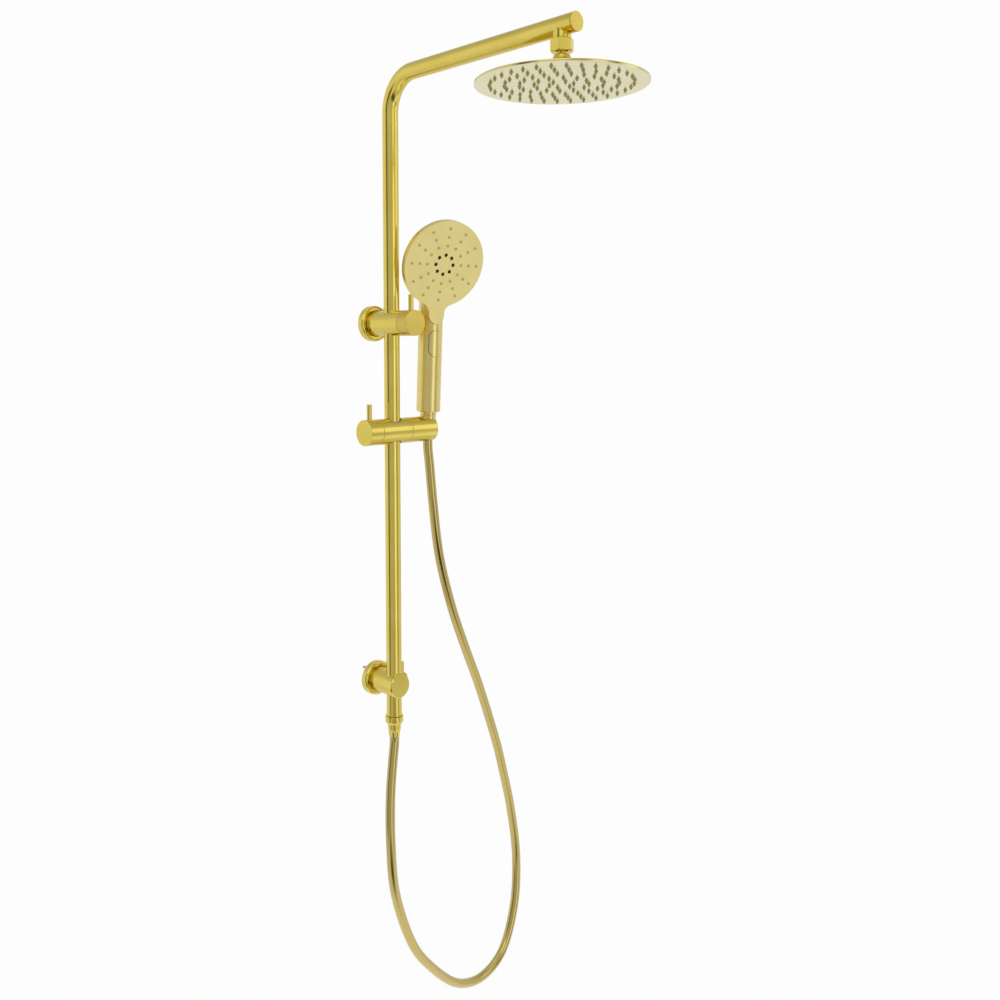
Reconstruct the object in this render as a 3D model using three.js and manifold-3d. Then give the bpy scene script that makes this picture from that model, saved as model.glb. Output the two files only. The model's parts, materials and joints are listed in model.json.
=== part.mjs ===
// Rainfall shower column for a bathroom wall: an overhead rain head on a bent riser, a diverter
// bracket, a sliding handset holder, a hand shower, a lower outlet bracket and a hanging hose.
// Units are millimetres, +Z is up, and the wall is the plane y = 0 with the room at negative y.
// The origin is the centre of the lower bracket's wall face.
import * as THREE from "three";
import { mergeVertices } from "three/addons/utils/BufferGeometryUtils.js";
import Module from "manifold-3d";

const wasm = await Module();
wasm.setup();

// ---------------------------------------------------------------- driving dimensions
const RISER_TO_WALL = 44; // riser axis to wall face
const UPPER_Z = 516; // diverter bracket above the lower bracket
const SLIDER_Z = 366; // slider above the lower bracket
const ARM_Z = 846; // arm axis above the lower bracket
const ARM_REACH = 308; // riser axis to rain head axis
const ARM_OVERHANG = 22; // rain head axis to the arm's closed end
const BEND_R = 47; // bend of the riser into the arm, on its centreline

const PIPE_R = 11;
const PIPE_WALL = 1.5;
const POST_R = 17.5; // both wall brackets
const FLANGE_R = 25;
const FLANGE_DEPTH = 10;
const BARREL_R = 18; // slider, lock knob and holder
const LEVER_R = 3.6; // the three lever pins
const LEVER_SUNK = 6; // how deep a lever pin sits in its knob

const DIVERTER_KNOB_LENGTH = 20;
const DIVERTER_LEVER_LENGTH = 21;
const DIVERTER_SHOULDER = 30.5; // riser axis to the seam behind the diverter knob
const LOWER_POST_FRONT = 14.7; // riser axis to the lower bracket's front face

const LOCK_KNOB_END = 50; // slider axis lengths, measured from the riser axis
const LOCK_SEAM = 28.3;
const HOLDER_SEAM = 23.6;
const HOLDER_END = 70.5;
const LOCK_LEVER_X = 40.5;
const LOCK_LEVER_LENGTH = 21;

const HANDSET_X = 66; // handset axis from the riser axis
const HANDSET_TILT = 2.6; // degrees, the handset leans away from the wall
const HANDLE_R = 17.2;
const HANDLE_WALL = 3;
const HANDLE_FOOT = 24.9; // bottom of the handle above the slider axis
const SPRAY_R = 61;
const SPRAY_Z = 232; // centre of the spray face above the slider axis
const SPRAY_FORWARD = 36.2; // centre of the spray face ahead of the handle axis
const SPRAY_TURN = -13; // degrees, the handset is turned a little in its holder
const SPRAY_DROP = 17.2; // degrees, the spray face looks down from the handle axis
const SPRAY_RIM = 8; // edge thickness of the handset's head
const FACE_T = 2.2;
const BUTTON_HALF_W = 9.6;
const BUTTON_HALF_H = 18.6;
const BUTTON_Z = 122.5;
const BUTTON_TRAVEL = 1.5;

const CONE_TOP_R = 12; // conical hose nut that sits in the holder
const CONE_BOTTOM_R = 8.9;
const CONE_TOP = 24.6;
const CONE_BOTTOM = -14;
const HOLDER_SLOT = 15.6; // width of the holder's mouth at its lower edge

const HEAD_R = 100;
const HEAD_FACE_Z = 781.5;
const HEAD_EDGE = 3;
const HEAD_HUB_R = 15.5;
const BALL_R = 9;
const BALL_Z = 800;
const CONNECTOR_Z = 816.5; // underside of the hexagon nut
const CONNECTOR_TOP = 831;
const CONNECTOR_FLATS = 12.2; // half the width across flats

const HOSE_R = 7;
const HOSE_SIDES = 10;
const HOSE_STEPS = 52;
const OUTLET_BOTTOM = -46; // foot of the outlet stub
const COUPLING_R = 13;
const COUPLING_BOTTOM = -58;
const COLLAR_R = 9.3;
const COLLAR_BOTTOM = -66.5;
const FERRULE_BOTTOM = -77.6;
const FERRULE_R = 7.1;
const FLUTES = 12;

const VALVE_Y = 10.5; // stop valve axis behind the riser axis
const VALVE_R = 9;
const VALVE_SEAM = 19;
const VALVE_END = 28;
const VALVE_LEVER_TOP = 26;

const CLEAR = 0.3; // between touching pieces
const LINER_CLEAR = 0.35; // liner on the riser
const BORE_R = 6; // waterways in the brackets
const SOCKET_FLOOR = 5.5; // a pipe's end from its bracket's axis
const CHAMFER = 0.5;

// ---------------------------------------------------------------- facets
const ROUND = 24;
const PIPE_SIDES = 16;
const SMALL = 12;
const DISC = 36;

const rad = THREE.MathUtils.degToRad;

// ---------------------------------------------------------------- materials
function metal(color, roughness) {
  return new THREE.MeshStandardMaterial({ color, roughness, metalness: 1 });
}
function plastic(color, roughness) {
  return new THREE.MeshStandardMaterial({ color, roughness, metalness: 0 });
}
const brushedGold = metal(0xc9b455, 0.32);
const handsetGold = metal(0xd3c176, 0.38);
const hoseGold = metal(0xcdb64e, 0.18);
const brass = metal(0xb5924a, 0.4);
const steel = metal(0xb9bbbd, 0.35);
const rubber = plastic(0x1d1d1d, 0.8);
const silicone = plastic(0x9a9650, 0.6);
const nylon = plastic(0x8e9092, 0.5);
const acetal = plastic(0xe6e4dc, 0.45);

// ---------------------------------------------------------------- solids
// A three.js geometry, closed once its shared vertices are merged, as a solid.
function solid(geometry) {
  const bare = geometry.index ? geometry.toNonIndexed() : geometry.clone();
  bare.deleteAttribute("normal");
  bare.deleteAttribute("uv");
  const merged = mergeVertices(bare, 1e-4);
  const index = merged.index.array;
  const kept = [];
  for (let i = 0; i < index.length; i += 3) {
    const [a, b, c] = [index[i], index[i + 1], index[i + 2]];
    if (a !== b && b !== c && c !== a) kept.push(a, b, c);
  }
  return new wasm.Manifold(
    new wasm.Mesh({
      numProp: 3,
      vertProperties: merged.attributes.position.array,
      triVerts: new Uint32Array(kept),
    }),
  );
}

function geometryOf(body) {
  const mesh = body.getMesh();
  const geometry = new THREE.BufferGeometry();
  geometry.setAttribute("position", new THREE.BufferAttribute(mesh.vertProperties, 3));
  geometry.setIndex(new THREE.BufferAttribute(mesh.triVerts, 1));
  geometry.computeVertexNormals();
  return geometry;
}

function cut(geometry, ...tools) {
  return geometryOf(tools.reduce((body, tool) => body.subtract(solid(tool)), solid(geometry)));
}

function join(...geometries) {
  return geometryOf(geometries.map(solid).reduce((body, other) => body.add(other)));
}

function common(geometry, other) {
  return geometryOf(solid(geometry).intersect(solid(other)));
}

// A profile of [radius, height] points turned about Z. It starts and ends on the axis, or it is a
// ring's closed outline, whose first point is repeated here.
function turned(profile, segments = ROUND) {
  const ring = profile[0][0] > 0;
  const area = profile.reduce((sum, [r, z], i) => {
    const [nextR, nextZ] = profile[(i + 1) % profile.length];
    return sum + r * nextZ - nextR * z;
  }, 0);
  const ordered = area > 0 ? [...profile] : [...profile].reverse();
  if (ring) ordered.push(ordered[0]);
  const points = ordered.map(([r, z]) => new THREE.Vector2(r, z));
  return new THREE.LatheGeometry(points, segments).rotateX(Math.PI / 2);
}

function rod(radius, low, high, segments = ROUND) {
  return turned([[0, low], [radius, low], [radius, high], [0, high]], segments);
}

// A rod with a chamfer at its high end.
function chamferedRod(radius, low, high, chamfer = CHAMFER, segments = ROUND) {
  const top = [[radius, high - chamfer], [radius - chamfer, high], [0, high]];
  return turned([[0, low], [radius, low], ...top], segments);
}

function tube(outer, inner, low, high, segments = ROUND) {
  return turned([[inner, low], [outer, low], [outer, high], [inner, high]], segments);
}

// An O-ring or other round-section ring about Z.
function oRing(radius, section, z, segments = PIPE_SIDES) {
  const profile = [];
  for (let i = 0; i < 5; i++) {
    const angle = (i * 2 * Math.PI) / 5;
    profile.push([radius + section * Math.cos(angle), z + section * Math.sin(angle)]);
  }
  return turned(profile, segments);
}

const forward = (geometry) => geometry.rotateX(Math.PI / 2); // +Z becomes -Y, out from the wall
const sideways = (geometry) => geometry.rotateY(Math.PI / 2); // +Z becomes +X

// ---------------------------------------------------------------- paths
// A line of stations, each a place and a direction, with a straight run between neighbours.
class StationLine extends THREE.Curve {
  constructor(stations) {
    super();
    this.stations = stations;
  }
  station(t) {
    return this.stations[Math.round(t * (this.stations.length - 1))];
  }
  getPoint(t) {
    return this.station(t).at.clone();
  }
  getPointAt(u) {
    return this.getPoint(u);
  }
  getTangentAt(u) {
    return this.station(u).along.clone();
  }
}

function circle(radius, hole = 0, sides = PIPE_SIDES) {
  const around = (r) =>
    Array.from({ length: sides }, (_, i) => {
      const angle = (i * 2 * Math.PI) / sides;
      return new THREE.Vector2(r * Math.cos(angle), r * Math.sin(angle));
    });
  const shape = new THREE.Shape(around(radius));
  if (hole) shape.holes.push(new THREE.Path(around(hole).reverse()));
  return shape;
}

function sweep(shape, path, steps) {
  return new THREE.ExtrudeGeometry(shape, { steps, extrudePath: path, bevelEnabled: false });
}

// ---------------------------------------------------------------- scene graph
const column = new THREE.Group();
const riser = new THREE.Group(); // the riser's axis at the lower bracket's height
riser.position.set(0, -RISER_TO_WALL, 0);
column.add(riser);

function level(z, parent = riser) {
  const group = new THREE.Group();
  group.position.z = z;
  parent.add(group);
  return group;
}

function piece(name, geometry, material, parent) {
  const mesh = new THREE.Mesh(geometry, material);
  mesh.name = name;
  parent.add(mesh);
  return mesh;
}

// ---------------------------------------------------------------- pipes and arm
function bentPipe() {
  const foot = UPPER_Z + SOCKET_FLOOR + CLEAR;
  const bendStart = ARM_Z - BEND_R;
  const stations = [{ at: new THREE.Vector3(0, 0, foot), along: new THREE.Vector3(0, 0, 1) }];
  const bendSteps = 8;
  for (let i = 0; i <= bendSteps; i++) {
    const angle = (i / bendSteps) * (Math.PI / 2);
    const at = new THREE.Vector3(
      0,
      -BEND_R * (1 - Math.cos(angle)),
      bendStart + BEND_R * Math.sin(angle),
    );
    stations.push({ at, along: new THREE.Vector3(0, -Math.sin(angle), Math.cos(angle)) });
  }
  const end = ARM_REACH + ARM_OVERHANG - CAP_T;
  stations.push({ at: new THREE.Vector3(0, -end, ARM_Z), along: new THREE.Vector3(0, -1, 0) });
  const shape = circle(PIPE_R, PIPE_R - PIPE_WALL);
  return sweep(shape, new StationLine(stations), stations.length - 1);
}

const CAP_T = 2; // arm end cap, outside the pipe
const CAP_SPIGOT = 8;
const BOSS_R = 10.4;
const NIPPLE_R = 8.4;

function armPieces() {
  const outlet = rod(BORE_R, ARM_Z - PIPE_R - 5, ARM_Z, SMALL).translate(0, -ARM_REACH, 0);
  piece("arm_pipe", cut(bentPipe(), outlet), brushedGold, riser);

  const capFace = ARM_REACH + ARM_OVERHANG;
  const cap = join(
    chamferedRod(PIPE_R, capFace - CAP_T + CLEAR, capFace, CHAMFER, PIPE_SIDES),
    rod(PIPE_R - PIPE_WALL - CLEAR, capFace - CAP_T - CAP_SPIGOT, capFace - 1, PIPE_SIDES),
  );
  piece("arm_end_cap", forward(cap).translate(0, 0, ARM_Z), brushedGold, riser);

  // The outlet boss is brazed under the arm, so its top follows the pipe.
  const saddle = forward(rod(PIPE_R + CLEAR, -2 * BOSS_R, 2 * BOSS_R, PIPE_SIDES));
  const bossTop = ARM_Z - 2;
  const boss = turned(
    [
      [BORE_R, CONNECTOR_Z + 4],
      [NIPPLE_R, CONNECTOR_Z + 4],
      [NIPPLE_R, CONNECTOR_TOP + CLEAR],
      [BOSS_R, CONNECTOR_TOP + CLEAR],
      [BOSS_R, bossTop],
      [BORE_R, bossTop],
    ],
    PIPE_SIDES,
  );
  const seated = cut(boss, saddle.translate(0, 0, ARM_Z)).translate(0, -ARM_REACH, 0);
  piece("arm_outlet_boss", seated, brushedGold, riser);
}

// ---------------------------------------------------------------- rain head on its ball joint
const BALL_STEM_R = 4.6;
const BALL_BORE_R = 3;
const HEAD_TOP_Z = 796; // top of the shell around its hub
const RETAINER_TOP = BALL_Z + 13.7;
const RETAINER_SHOULDER = BALL_Z + 8;
const RETAINER_TOP_R = 9.6;
const RETAINER_TOP_BORE = 8.7;
const HUB_THROAT_R = 7.2;
const CUP_T = 1.3; // liner cup of the ball joint
const HEAD_WALL = 1.2;

function hexagon(halfFlats, low, high) {
  const corner = halfFlats / Math.cos(Math.PI / 6);
  const block = new THREE.CylinderGeometry(corner, corner, high - low, 6);
  return block.rotateX(Math.PI / 2).translate(0, 0, (low + high) / 2);
}

// Points on the ball joint's sphere, from one height to another, as a turned profile.
function arcProfile(radius, fromZ, toZ, steps) {
  const from = Math.asin(fromZ / radius);
  const to = Math.asin(toZ / radius);
  return Array.from({ length: steps + 1 }, (_, i) => {
    const angle = from + ((to - from) * i) / steps;
    return [radius * Math.cos(angle), BALL_Z + radius * Math.sin(angle)];
  });
}

function rainHeadPieces() {
  const head = new THREE.Group();
  head.position.y = -ARM_REACH;
  riser.add(head);

  const corners = turned(
    [
      [0, CONNECTOR_Z],
      [CONNECTOR_FLATS - 0.6, CONNECTOR_Z],
      [CONNECTOR_FLATS + 1.4, CONNECTOR_Z + 1.6],
      [CONNECTOR_FLATS + 1.4, CONNECTOR_TOP - 1.6],
      [CONNECTOR_FLATS - 0.6, CONNECTOR_TOP],
      [0, CONNECTOR_TOP],
    ],
    PIPE_SIDES,
  );
  const nut = common(hexagon(CONNECTOR_FLATS, CONNECTOR_Z, CONNECTOR_TOP), corners);
  const socket = rod(NIPPLE_R + CLEAR, CONNECTOR_Z + 2, CONNECTOR_TOP + 1, PIPE_SIDES);
  const low = -BALL_R * 0.85;
  const neckZ = Math.sqrt(BALL_R ** 2 - BALL_STEM_R ** 2);
  const ball = turned(
    [[0, BALL_Z + low], ...arcProfile(BALL_R, low, neckZ, 8), [BALL_STEM_R, CONNECTOR_Z + 1],
      [0, CONNECTOR_Z + 1]],
    PIPE_SIDES,
  );
  const bore = rod(BALL_BORE_R, BALL_Z - BALL_R - 1, CONNECTOR_Z + 3, SMALL);
  piece("ball_connector", cut(join(cut(nut, socket), ball), bore), brushedGold, head);

  const washerLow = CONNECTOR_Z + 2 + CLEAR;
  const washer = tube(NIPPLE_R, BORE_R - 1, washerLow, CONNECTOR_Z + 4 - CLEAR, SMALL);
  piece("connector_washer", washer, rubber, head);

  // The head's own pieces: a liner cup below the ball, a screwed retainer above it, and the shell.
  const seatR = BALL_R + CLEAR;
  const cupR = seatR + CUP_T;
  const cupLow = -0.68 * seatR;
  const cupHigh = -0.3 * seatR;
  const cup = turned(
    [...arcProfile(seatR, cupLow, cupHigh, 4), ...arcProfile(cupR, cupHigh, cupLow, 4)],
    PIPE_SIDES,
  );
  piece("ball_seat", cup, acetal, head);

  const retainer = turned(
    [
      ...arcProfile(seatR, CLEAR, BALL_R / 2, 4),
      [RETAINER_TOP_BORE, RETAINER_TOP],
      [RETAINER_TOP_R, RETAINER_TOP],
      [RETAINER_TOP_R + 0.6, RETAINER_TOP - 2],
      [RETAINER_TOP_R + 1, RETAINER_SHOULDER + 2],
      [HEAD_HUB_R - 1.5, RETAINER_SHOULDER + CLEAR],
      [HEAD_HUB_R, RETAINER_SHOULDER - 1.2],
      [HEAD_HUB_R, BALL_Z + CLEAR],
    ],
    PIPE_SIDES,
  );
  piece("ball_retainer", retainer, brushedGold, head);

  const cavityR = cupR + CLEAR;
  const shellFoot = HEAD_FACE_Z + HEAD_WALL + CLEAR;
  const edgeTop = HEAD_FACE_Z + HEAD_EDGE;
  const shell = turned(
    [
      [HEAD_R, shellFoot],
      [HEAD_R, edgeTop - CHAMFER],
      [HEAD_R - CHAMFER, edgeTop],
      [HEAD_R - 22, edgeTop + 1.5],
      [HEAD_HUB_R + 14, HEAD_TOP_Z - 6],
      [HEAD_HUB_R, HEAD_TOP_Z - 3],
      [HEAD_HUB_R, BALL_Z],
      ...arcProfile(cavityR, 0, -Math.sqrt(cavityR ** 2 - HUB_THROAT_R ** 2), 6),
      [HUB_THROAT_R, BALL_Z - 10],
      [HEAD_HUB_R + 12, HEAD_TOP_Z - 7.6],
      [HEAD_R - 23, edgeTop + 0.2],
      [HEAD_R - 3, shellFoot + 0.7],
      [HEAD_R - 3, shellFoot],
    ],
    DISC,
  );
  piece("head_top_shell", shell, brushedGold, head);
  const face = rod(HEAD_R, HEAD_FACE_Z, HEAD_FACE_Z + HEAD_WALL, DISC);
  piece("head_face_plate", face, steel, head);
  const matLow = HEAD_FACE_Z + HEAD_WALL + CLEAR;
  const mat = rod(MAT_R, matLow, matLow + MAT_T, DISC);
  piece("head_nozzle_mat", mat, silicone, head);
}

const MAT_R = 88;
const MAT_T = 0.8;

// ---------------------------------------------------------------- wall brackets
function flange() {
  const back = -RISER_TO_WALL;
  const front = back + FLANGE_DEPTH;
  const bore = POST_R + CLEAR;
  const profile = [
    [bore, back],
    [FLANGE_R, back],
    [FLANGE_R, front - 3],
    [FLANGE_R - 0.9, front - 0.9],
    [FLANGE_R - 3, front],
    [bore + 0.6, front],
    [bore, front - 0.6],
  ];
  return forward(turned(profile));
}

// A pipe socket into a post, from its floor past the post's surface.
function socket(side) {
  const low = side * SOCKET_FLOOR;
  const high = side * (POST_R + 2);
  return rod(PIPE_R + CLEAR, Math.min(low, high), Math.max(low, high), PIPE_SIDES);
}

const SEAL_Z = 12; // a pipe seal's height from its bracket's axis
const SEAL_SECTION = 0.7;

function sealGroove(side) {
  const half = SEAL_SECTION + CLEAR;
  const middle = side * SEAL_Z;
  return rod(PIPE_R + CLEAR + 2 * half, middle - half, middle + half, PIPE_SIDES);
}

function pipeSeal(side) {
  return oRing(PIPE_R + CLEAR + SEAL_SECTION + 0.15, SEAL_SECTION, side * SEAL_Z);
}

const CARTRIDGE_R = 12;
const CARTRIDGE_BACK = PIPE_R + 2.4; // clear of the pipe sockets
const SPINDLE_R = 4;
const INLET_BORE = 10.6;
const INLET_R = 10.2;
const INLET_SUNK = 16;
const INLET_OUT = 12; // how far the inlet nipple stands into the wall

function upperBracket() {
  const bracket = level(UPPER_Z);
  const wall = -RISER_TO_WALL;
  const front = DIVERTER_SHOULDER - CLEAR / 2;
  const post = cut(
    forward(rod(POST_R, wall, front)),
    socket(1),
    socket(-1),
    sealGroove(1),
    sealGroove(-1),
    rod(BORE_R, -SOCKET_FLOOR - 1, SOCKET_FLOOR + 1, SMALL),
    forward(rod(BORE_R, wall + INLET_SUNK, CARTRIDGE_BACK + 1, SMALL)),
    forward(rod(INLET_BORE, wall - 1, wall + INLET_SUNK + 2, PIPE_SIDES)),
    forward(rod(CARTRIDGE_R, CARTRIDGE_BACK, front + 1, PIPE_SIDES)),
  );
  piece("diverter_post", post, brushedGold, bracket);
  piece("upper_flange", flange(), brushedGold, bracket);

  const nipple = tube(INLET_R, BORE_R, wall - INLET_OUT, wall + INLET_SUNK - CLEAR, PIPE_SIDES);
  piece("inlet_nipple", forward(nipple), brass, bracket);
  const sealLow = wall + INLET_SUNK;
  const seal = tube(INLET_R, BORE_R + 1, sealLow, sealLow + 2 - CLEAR, PIPE_SIDES);
  piece("inlet_seal", forward(seal), rubber, bracket);
  piece("diverter_seal_upper", pipeSeal(1), rubber, bracket);
  piece("diverter_seal_lower", pipeSeal(-1), rubber, bracket);

  const body = turned(
    [
      [SPINDLE_R + CLEAR, CARTRIDGE_BACK + 3],
      [SPINDLE_R + CLEAR, front - CLEAR],
      [CARTRIDGE_R - CLEAR, front - CLEAR],
      [CARTRIDGE_R - CLEAR, CARTRIDGE_BACK + CLEAR],
      [BORE_R + 2, CARTRIDGE_BACK + CLEAR],
      [BORE_R + 2, CARTRIDGE_BACK + 3],
    ],
    PIPE_SIDES,
  );
  piece("diverter_cartridge", forward(body), acetal, bracket);

  const knobBack = DIVERTER_SHOULDER + CLEAR / 2;
  const knobFront = DIVERTER_SHOULDER + DIVERTER_KNOB_LENGTH;
  const leverY = DIVERTER_SHOULDER + DIVERTER_KNOB_LENGTH / 2 + 1;
  const spindleEnd = leverY - LEVER_R - 2;
  const spindle = join(
    rod(SPINDLE_R, CARTRIDGE_BACK + 3, spindleEnd, SMALL),
    rod(BORE_R + 1.5, CARTRIDGE_BACK + CLEAR, CARTRIDGE_BACK + 3 - CLEAR, SMALL),
    rod(SPINDLE_R, CARTRIDGE_BACK + 1, CARTRIDGE_BACK + 4, SMALL),
  );
  piece("diverter_spindle", forward(spindle), brass, bracket);

  const knob = cut(
    forward(chamferedRod(POST_R, knobBack, knobFront)),
    forward(rod(SPINDLE_R + CLEAR, knobBack - 1, spindleEnd + CLEAR, SMALL)),
    leverSocket(POST_R).translate(0, -leverY, 0),
  );
  piece("diverter_knob", knob, brushedGold, bracket);
  const lever = leverPin(POST_R, DIVERTER_LEVER_LENGTH).translate(0, -leverY, 0);
  piece("diverter_lever", lever, brushedGold, bracket);
}

// A lever pin stands on a knob of the given radius, and sits in a drilled socket.
function leverPin(knobR, length) {
  return chamferedRod(LEVER_R, knobR - LEVER_SUNK + CLEAR, knobR + length, 0.6, SMALL);
}

function leverSocket(knobR) {
  return rod(LEVER_R + CLEAR, knobR - LEVER_SUNK, knobR + 5, SMALL);
}

const WALL_BOSS_R = 13.5;
const WALL_BOSS_DEPTH = 14;
const SCREW_OFFSET = 8;
const SCREW_R = 2;
const SCREW_HEAD_R = 4;
const SCREW_IN_WALL = 30;
const GRUB_R = 2.5;
const FRONT_EDGE = 1.4; // chamfer round the lower bracket's front face

function lowerBracket() {
  const wall = -RISER_TO_WALL;
  const bossFront = wall + WALL_BOSS_DEPTH;
  const bossMiddle = (wall + bossFront) / 2 + 3;
  const grubHole = rod(GRUB_R + CLEAR, -POST_R - 1, -WALL_BOSS_R + 2, SMALL);
  const valveSeat = sideways(rod(VALVE_R, 0, VALVE_SEAM - CLEAR / 2, PIPE_SIDES));
  const valveBore = sideways(rod(SPINDLE_R + CLEAR, -6, VALVE_SEAM + 1, SMALL));
  const barrel = forward(chamferedRod(POST_R, wall, LOWER_POST_FRONT, FRONT_EDGE));
  const post = cut(
    join(barrel, valveSeat.translate(0, VALVE_Y, 0)),
    socket(1),
    socket(-1),
    sealGroove(1),
    sealGroove(-1),
    rod(BORE_R, -SOCKET_FLOOR - 1, SOCKET_FLOOR + 1, SMALL),
    forward(rod(WALL_BOSS_R + CLEAR, wall - 1, bossFront + CLEAR)),
    valveBore.translate(0, VALVE_Y, 0),
    grubHole.translate(0, -bossMiddle, 0),
  );
  piece("outlet_post", post, brushedGold, riser);
  piece("lower_flange", flange(), brushedGold, riser);

  const screwHole = (z) => {
    const shank = rod(SCREW_R + CLEAR, wall - 1, bossFront + 1, SMALL);
    const head = rod(SCREW_HEAD_R + CLEAR, bossFront - 3, bossFront + 1, SMALL);
    return forward(join(shank, head)).translate(0, 0, z);
  };
  const grubSeat = rod(GRUB_R + CLEAR, -WALL_BOSS_R - 1, -WALL_BOSS_R + 1.5, SMALL);
  const boss = cut(
    forward(rod(WALL_BOSS_R, wall, bossFront)),
    screwHole(SCREW_OFFSET),
    screwHole(-SCREW_OFFSET),
    grubSeat.translate(0, -bossMiddle, 0),
  );
  piece("lower_wall_boss", boss, brass, riser);
  const screw = () => forward(turned(
    [
      [0, wall - SCREW_IN_WALL],
      [SCREW_R, wall - SCREW_IN_WALL + 3],
      [SCREW_R, bossFront - 3 + CLEAR],
      [SCREW_HEAD_R, bossFront - 3 + CLEAR],
      [SCREW_HEAD_R, bossFront - 0.8],
      [0, bossFront - 0.4],
    ],
    SMALL,
  ));
  piece("lower_wall_screw_top", screw().translate(0, 0, SCREW_OFFSET), steel, riser);
  piece("lower_wall_screw_bottom", screw().translate(0, 0, -SCREW_OFFSET), steel, riser);
  const grub = rod(GRUB_R, -POST_R + 0.4, -WALL_BOSS_R + 1.2, SMALL);
  piece("outlet_grub_screw", grub.translate(0, -bossMiddle, 0), steel, riser);
  piece("outlet_seal_upper", pipeSeal(1), rubber, riser);
  piece("outlet_seal_lower", pipeSeal(-1), rubber, riser);

  const riserLow = SOCKET_FLOOR + CLEAR;
  const riserHigh = UPPER_Z - SOCKET_FLOOR - CLEAR;
  const pipe = tube(PIPE_R, PIPE_R - PIPE_WALL, riserLow, riserHigh, PIPE_SIDES);
  piece("riser_pipe", pipe, brushedGold, riser);
  stopValve();
}

function stopValve() {
  const valve = new THREE.Group();
  valve.position.y = VALVE_Y;
  riser.add(valve);
  const spindle = sideways(rod(SPINDLE_R, -5, VALVE_END - 7, SMALL));
  piece("stop_valve_spindle", spindle, brass, valve);
  const leverX = (VALVE_SEAM + VALVE_END) / 2;
  const knobLow = VALVE_SEAM + CLEAR / 2;
  const bore = sideways(rod(SPINDLE_R + CLEAR, knobLow - 1, VALVE_END - 6.7, SMALL));
  const seat = rod(VALVE_LEVER_R + CLEAR, VALVE_R - 4, VALVE_R + 4, SMALL);
  const knob = cut(
    sideways(chamferedRod(VALVE_R, knobLow, VALVE_END, CHAMFER, PIPE_SIDES)),
    bore,
    seat.translate(leverX, 0, 0),
  );
  piece("stop_valve_knob", knob, brushedGold, valve);
  const lever = chamferedRod(VALVE_LEVER_R, VALVE_R - 4 + CLEAR, VALVE_LEVER_TOP, 0.6, SMALL);
  piece("stop_valve_lever", lever.translate(leverX, 0, 0), brushedGold, valve);
}

const VALVE_LEVER_R = 3;

// ---------------------------------------------------------------- outlet and hose couplings
const OUTLET_BORE = 5;
const NUT_WALL = 1.2;
const OUTLET_THREAD_R = COUPLING_R - 2.6;
const OUTLET_THREAD_END = OUTLET_BOTTOM - 6.5;
const INSERT_R = 4;
const INSERT_BORE = 2.8;

function outletAndCoupling() {
  const stub = turned(
    [
      [OUTLET_BORE, -SOCKET_FLOOR - CLEAR],
      [PIPE_R, -SOCKET_FLOOR - CLEAR],
      [PIPE_R, OUTLET_BOTTOM],
      [OUTLET_THREAD_R, OUTLET_BOTTOM],
      [OUTLET_THREAD_R, OUTLET_THREAD_END],
      [OUTLET_BORE, OUTLET_THREAD_END],
    ],
    PIPE_SIDES,
  );
  piece("outlet_stub", stub, brushedGold, riser);

  const nutTop = OUTLET_BOTTOM - CLEAR;
  const shelf = COUPLING_BOTTOM + NUT_WALL;
  const nut = turned([
    [OUTLET_THREAD_R + CLEAR, nutTop],
    [COUPLING_R, nutTop],
    [COUPLING_R, COUPLING_BOTTOM + 3.4],
    [COLLAR_R + 1.4, COUPLING_BOTTOM],
    [INSERT_R + 1.6, COUPLING_BOTTOM],
    [INSERT_R + 1.6, shelf],
    [OUTLET_THREAD_R + CLEAR, shelf],
  ]);
  piece("hose_coupling_nut", nut, brushedGold, riser);

  const washerTop = OUTLET_THREAD_END - CLEAR;
  const washer = tube(OUTLET_THREAD_R, OUTLET_BORE, washerTop - 2, washerTop, PIPE_SIDES);
  piece("hose_washer_lower", washer, rubber, riser);

  const headTop = washerTop - 2 - CLEAR;
  const insert = turned(
    [
      [INSERT_BORE, headTop],
      [OUTLET_THREAD_R, headTop],
      [OUTLET_THREAD_R, shelf + CLEAR],
      [INSERT_R, shelf + CLEAR],
      [INSERT_R, FERRULE_BOTTOM + CLEAR],
      [INSERT_BORE, FERRULE_BOTTOM + CLEAR],
    ],
    SMALL,
  );
  piece("hose_insert_lower", insert, brass, riser);
  piece("hose_ferrule_lower", ferrule(), brushedGold, riser);
}

// A crimped ferrule: a plain collar above a cone with flutes cut along it.
function ferrule() {
  const cone = turned(
    [
      [INSERT_R + CLEAR, COUPLING_BOTTOM - CLEAR],
      [COLLAR_R, COUPLING_BOTTOM - CLEAR],
      [COLLAR_R, COLLAR_BOTTOM],
      [COLLAR_R - 0.6, COLLAR_BOTTOM - 0.4],
      [FERRULE_R, FERRULE_BOTTOM],
      [INSERT_R + CLEAR, FERRULE_BOTTOM],
    ],
    PIPE_SIDES,
  );
  const fluteLength = COLLAR_BOTTOM - FERRULE_BOTTOM + 2;
  const flutes = Array.from({ length: FLUTES }, (_, i) =>
    rod(0.9, -fluteLength, 0, 6)
      .rotateX(Math.atan((COLLAR_R - FERRULE_R) / fluteLength))
      .translate(0, -COLLAR_R - 0.2, COLLAR_BOTTOM - 0.8)
      .rotateZ((i * 2 * Math.PI) / FLUTES),
  );
  return cut(cone, ...flutes);
}

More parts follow.
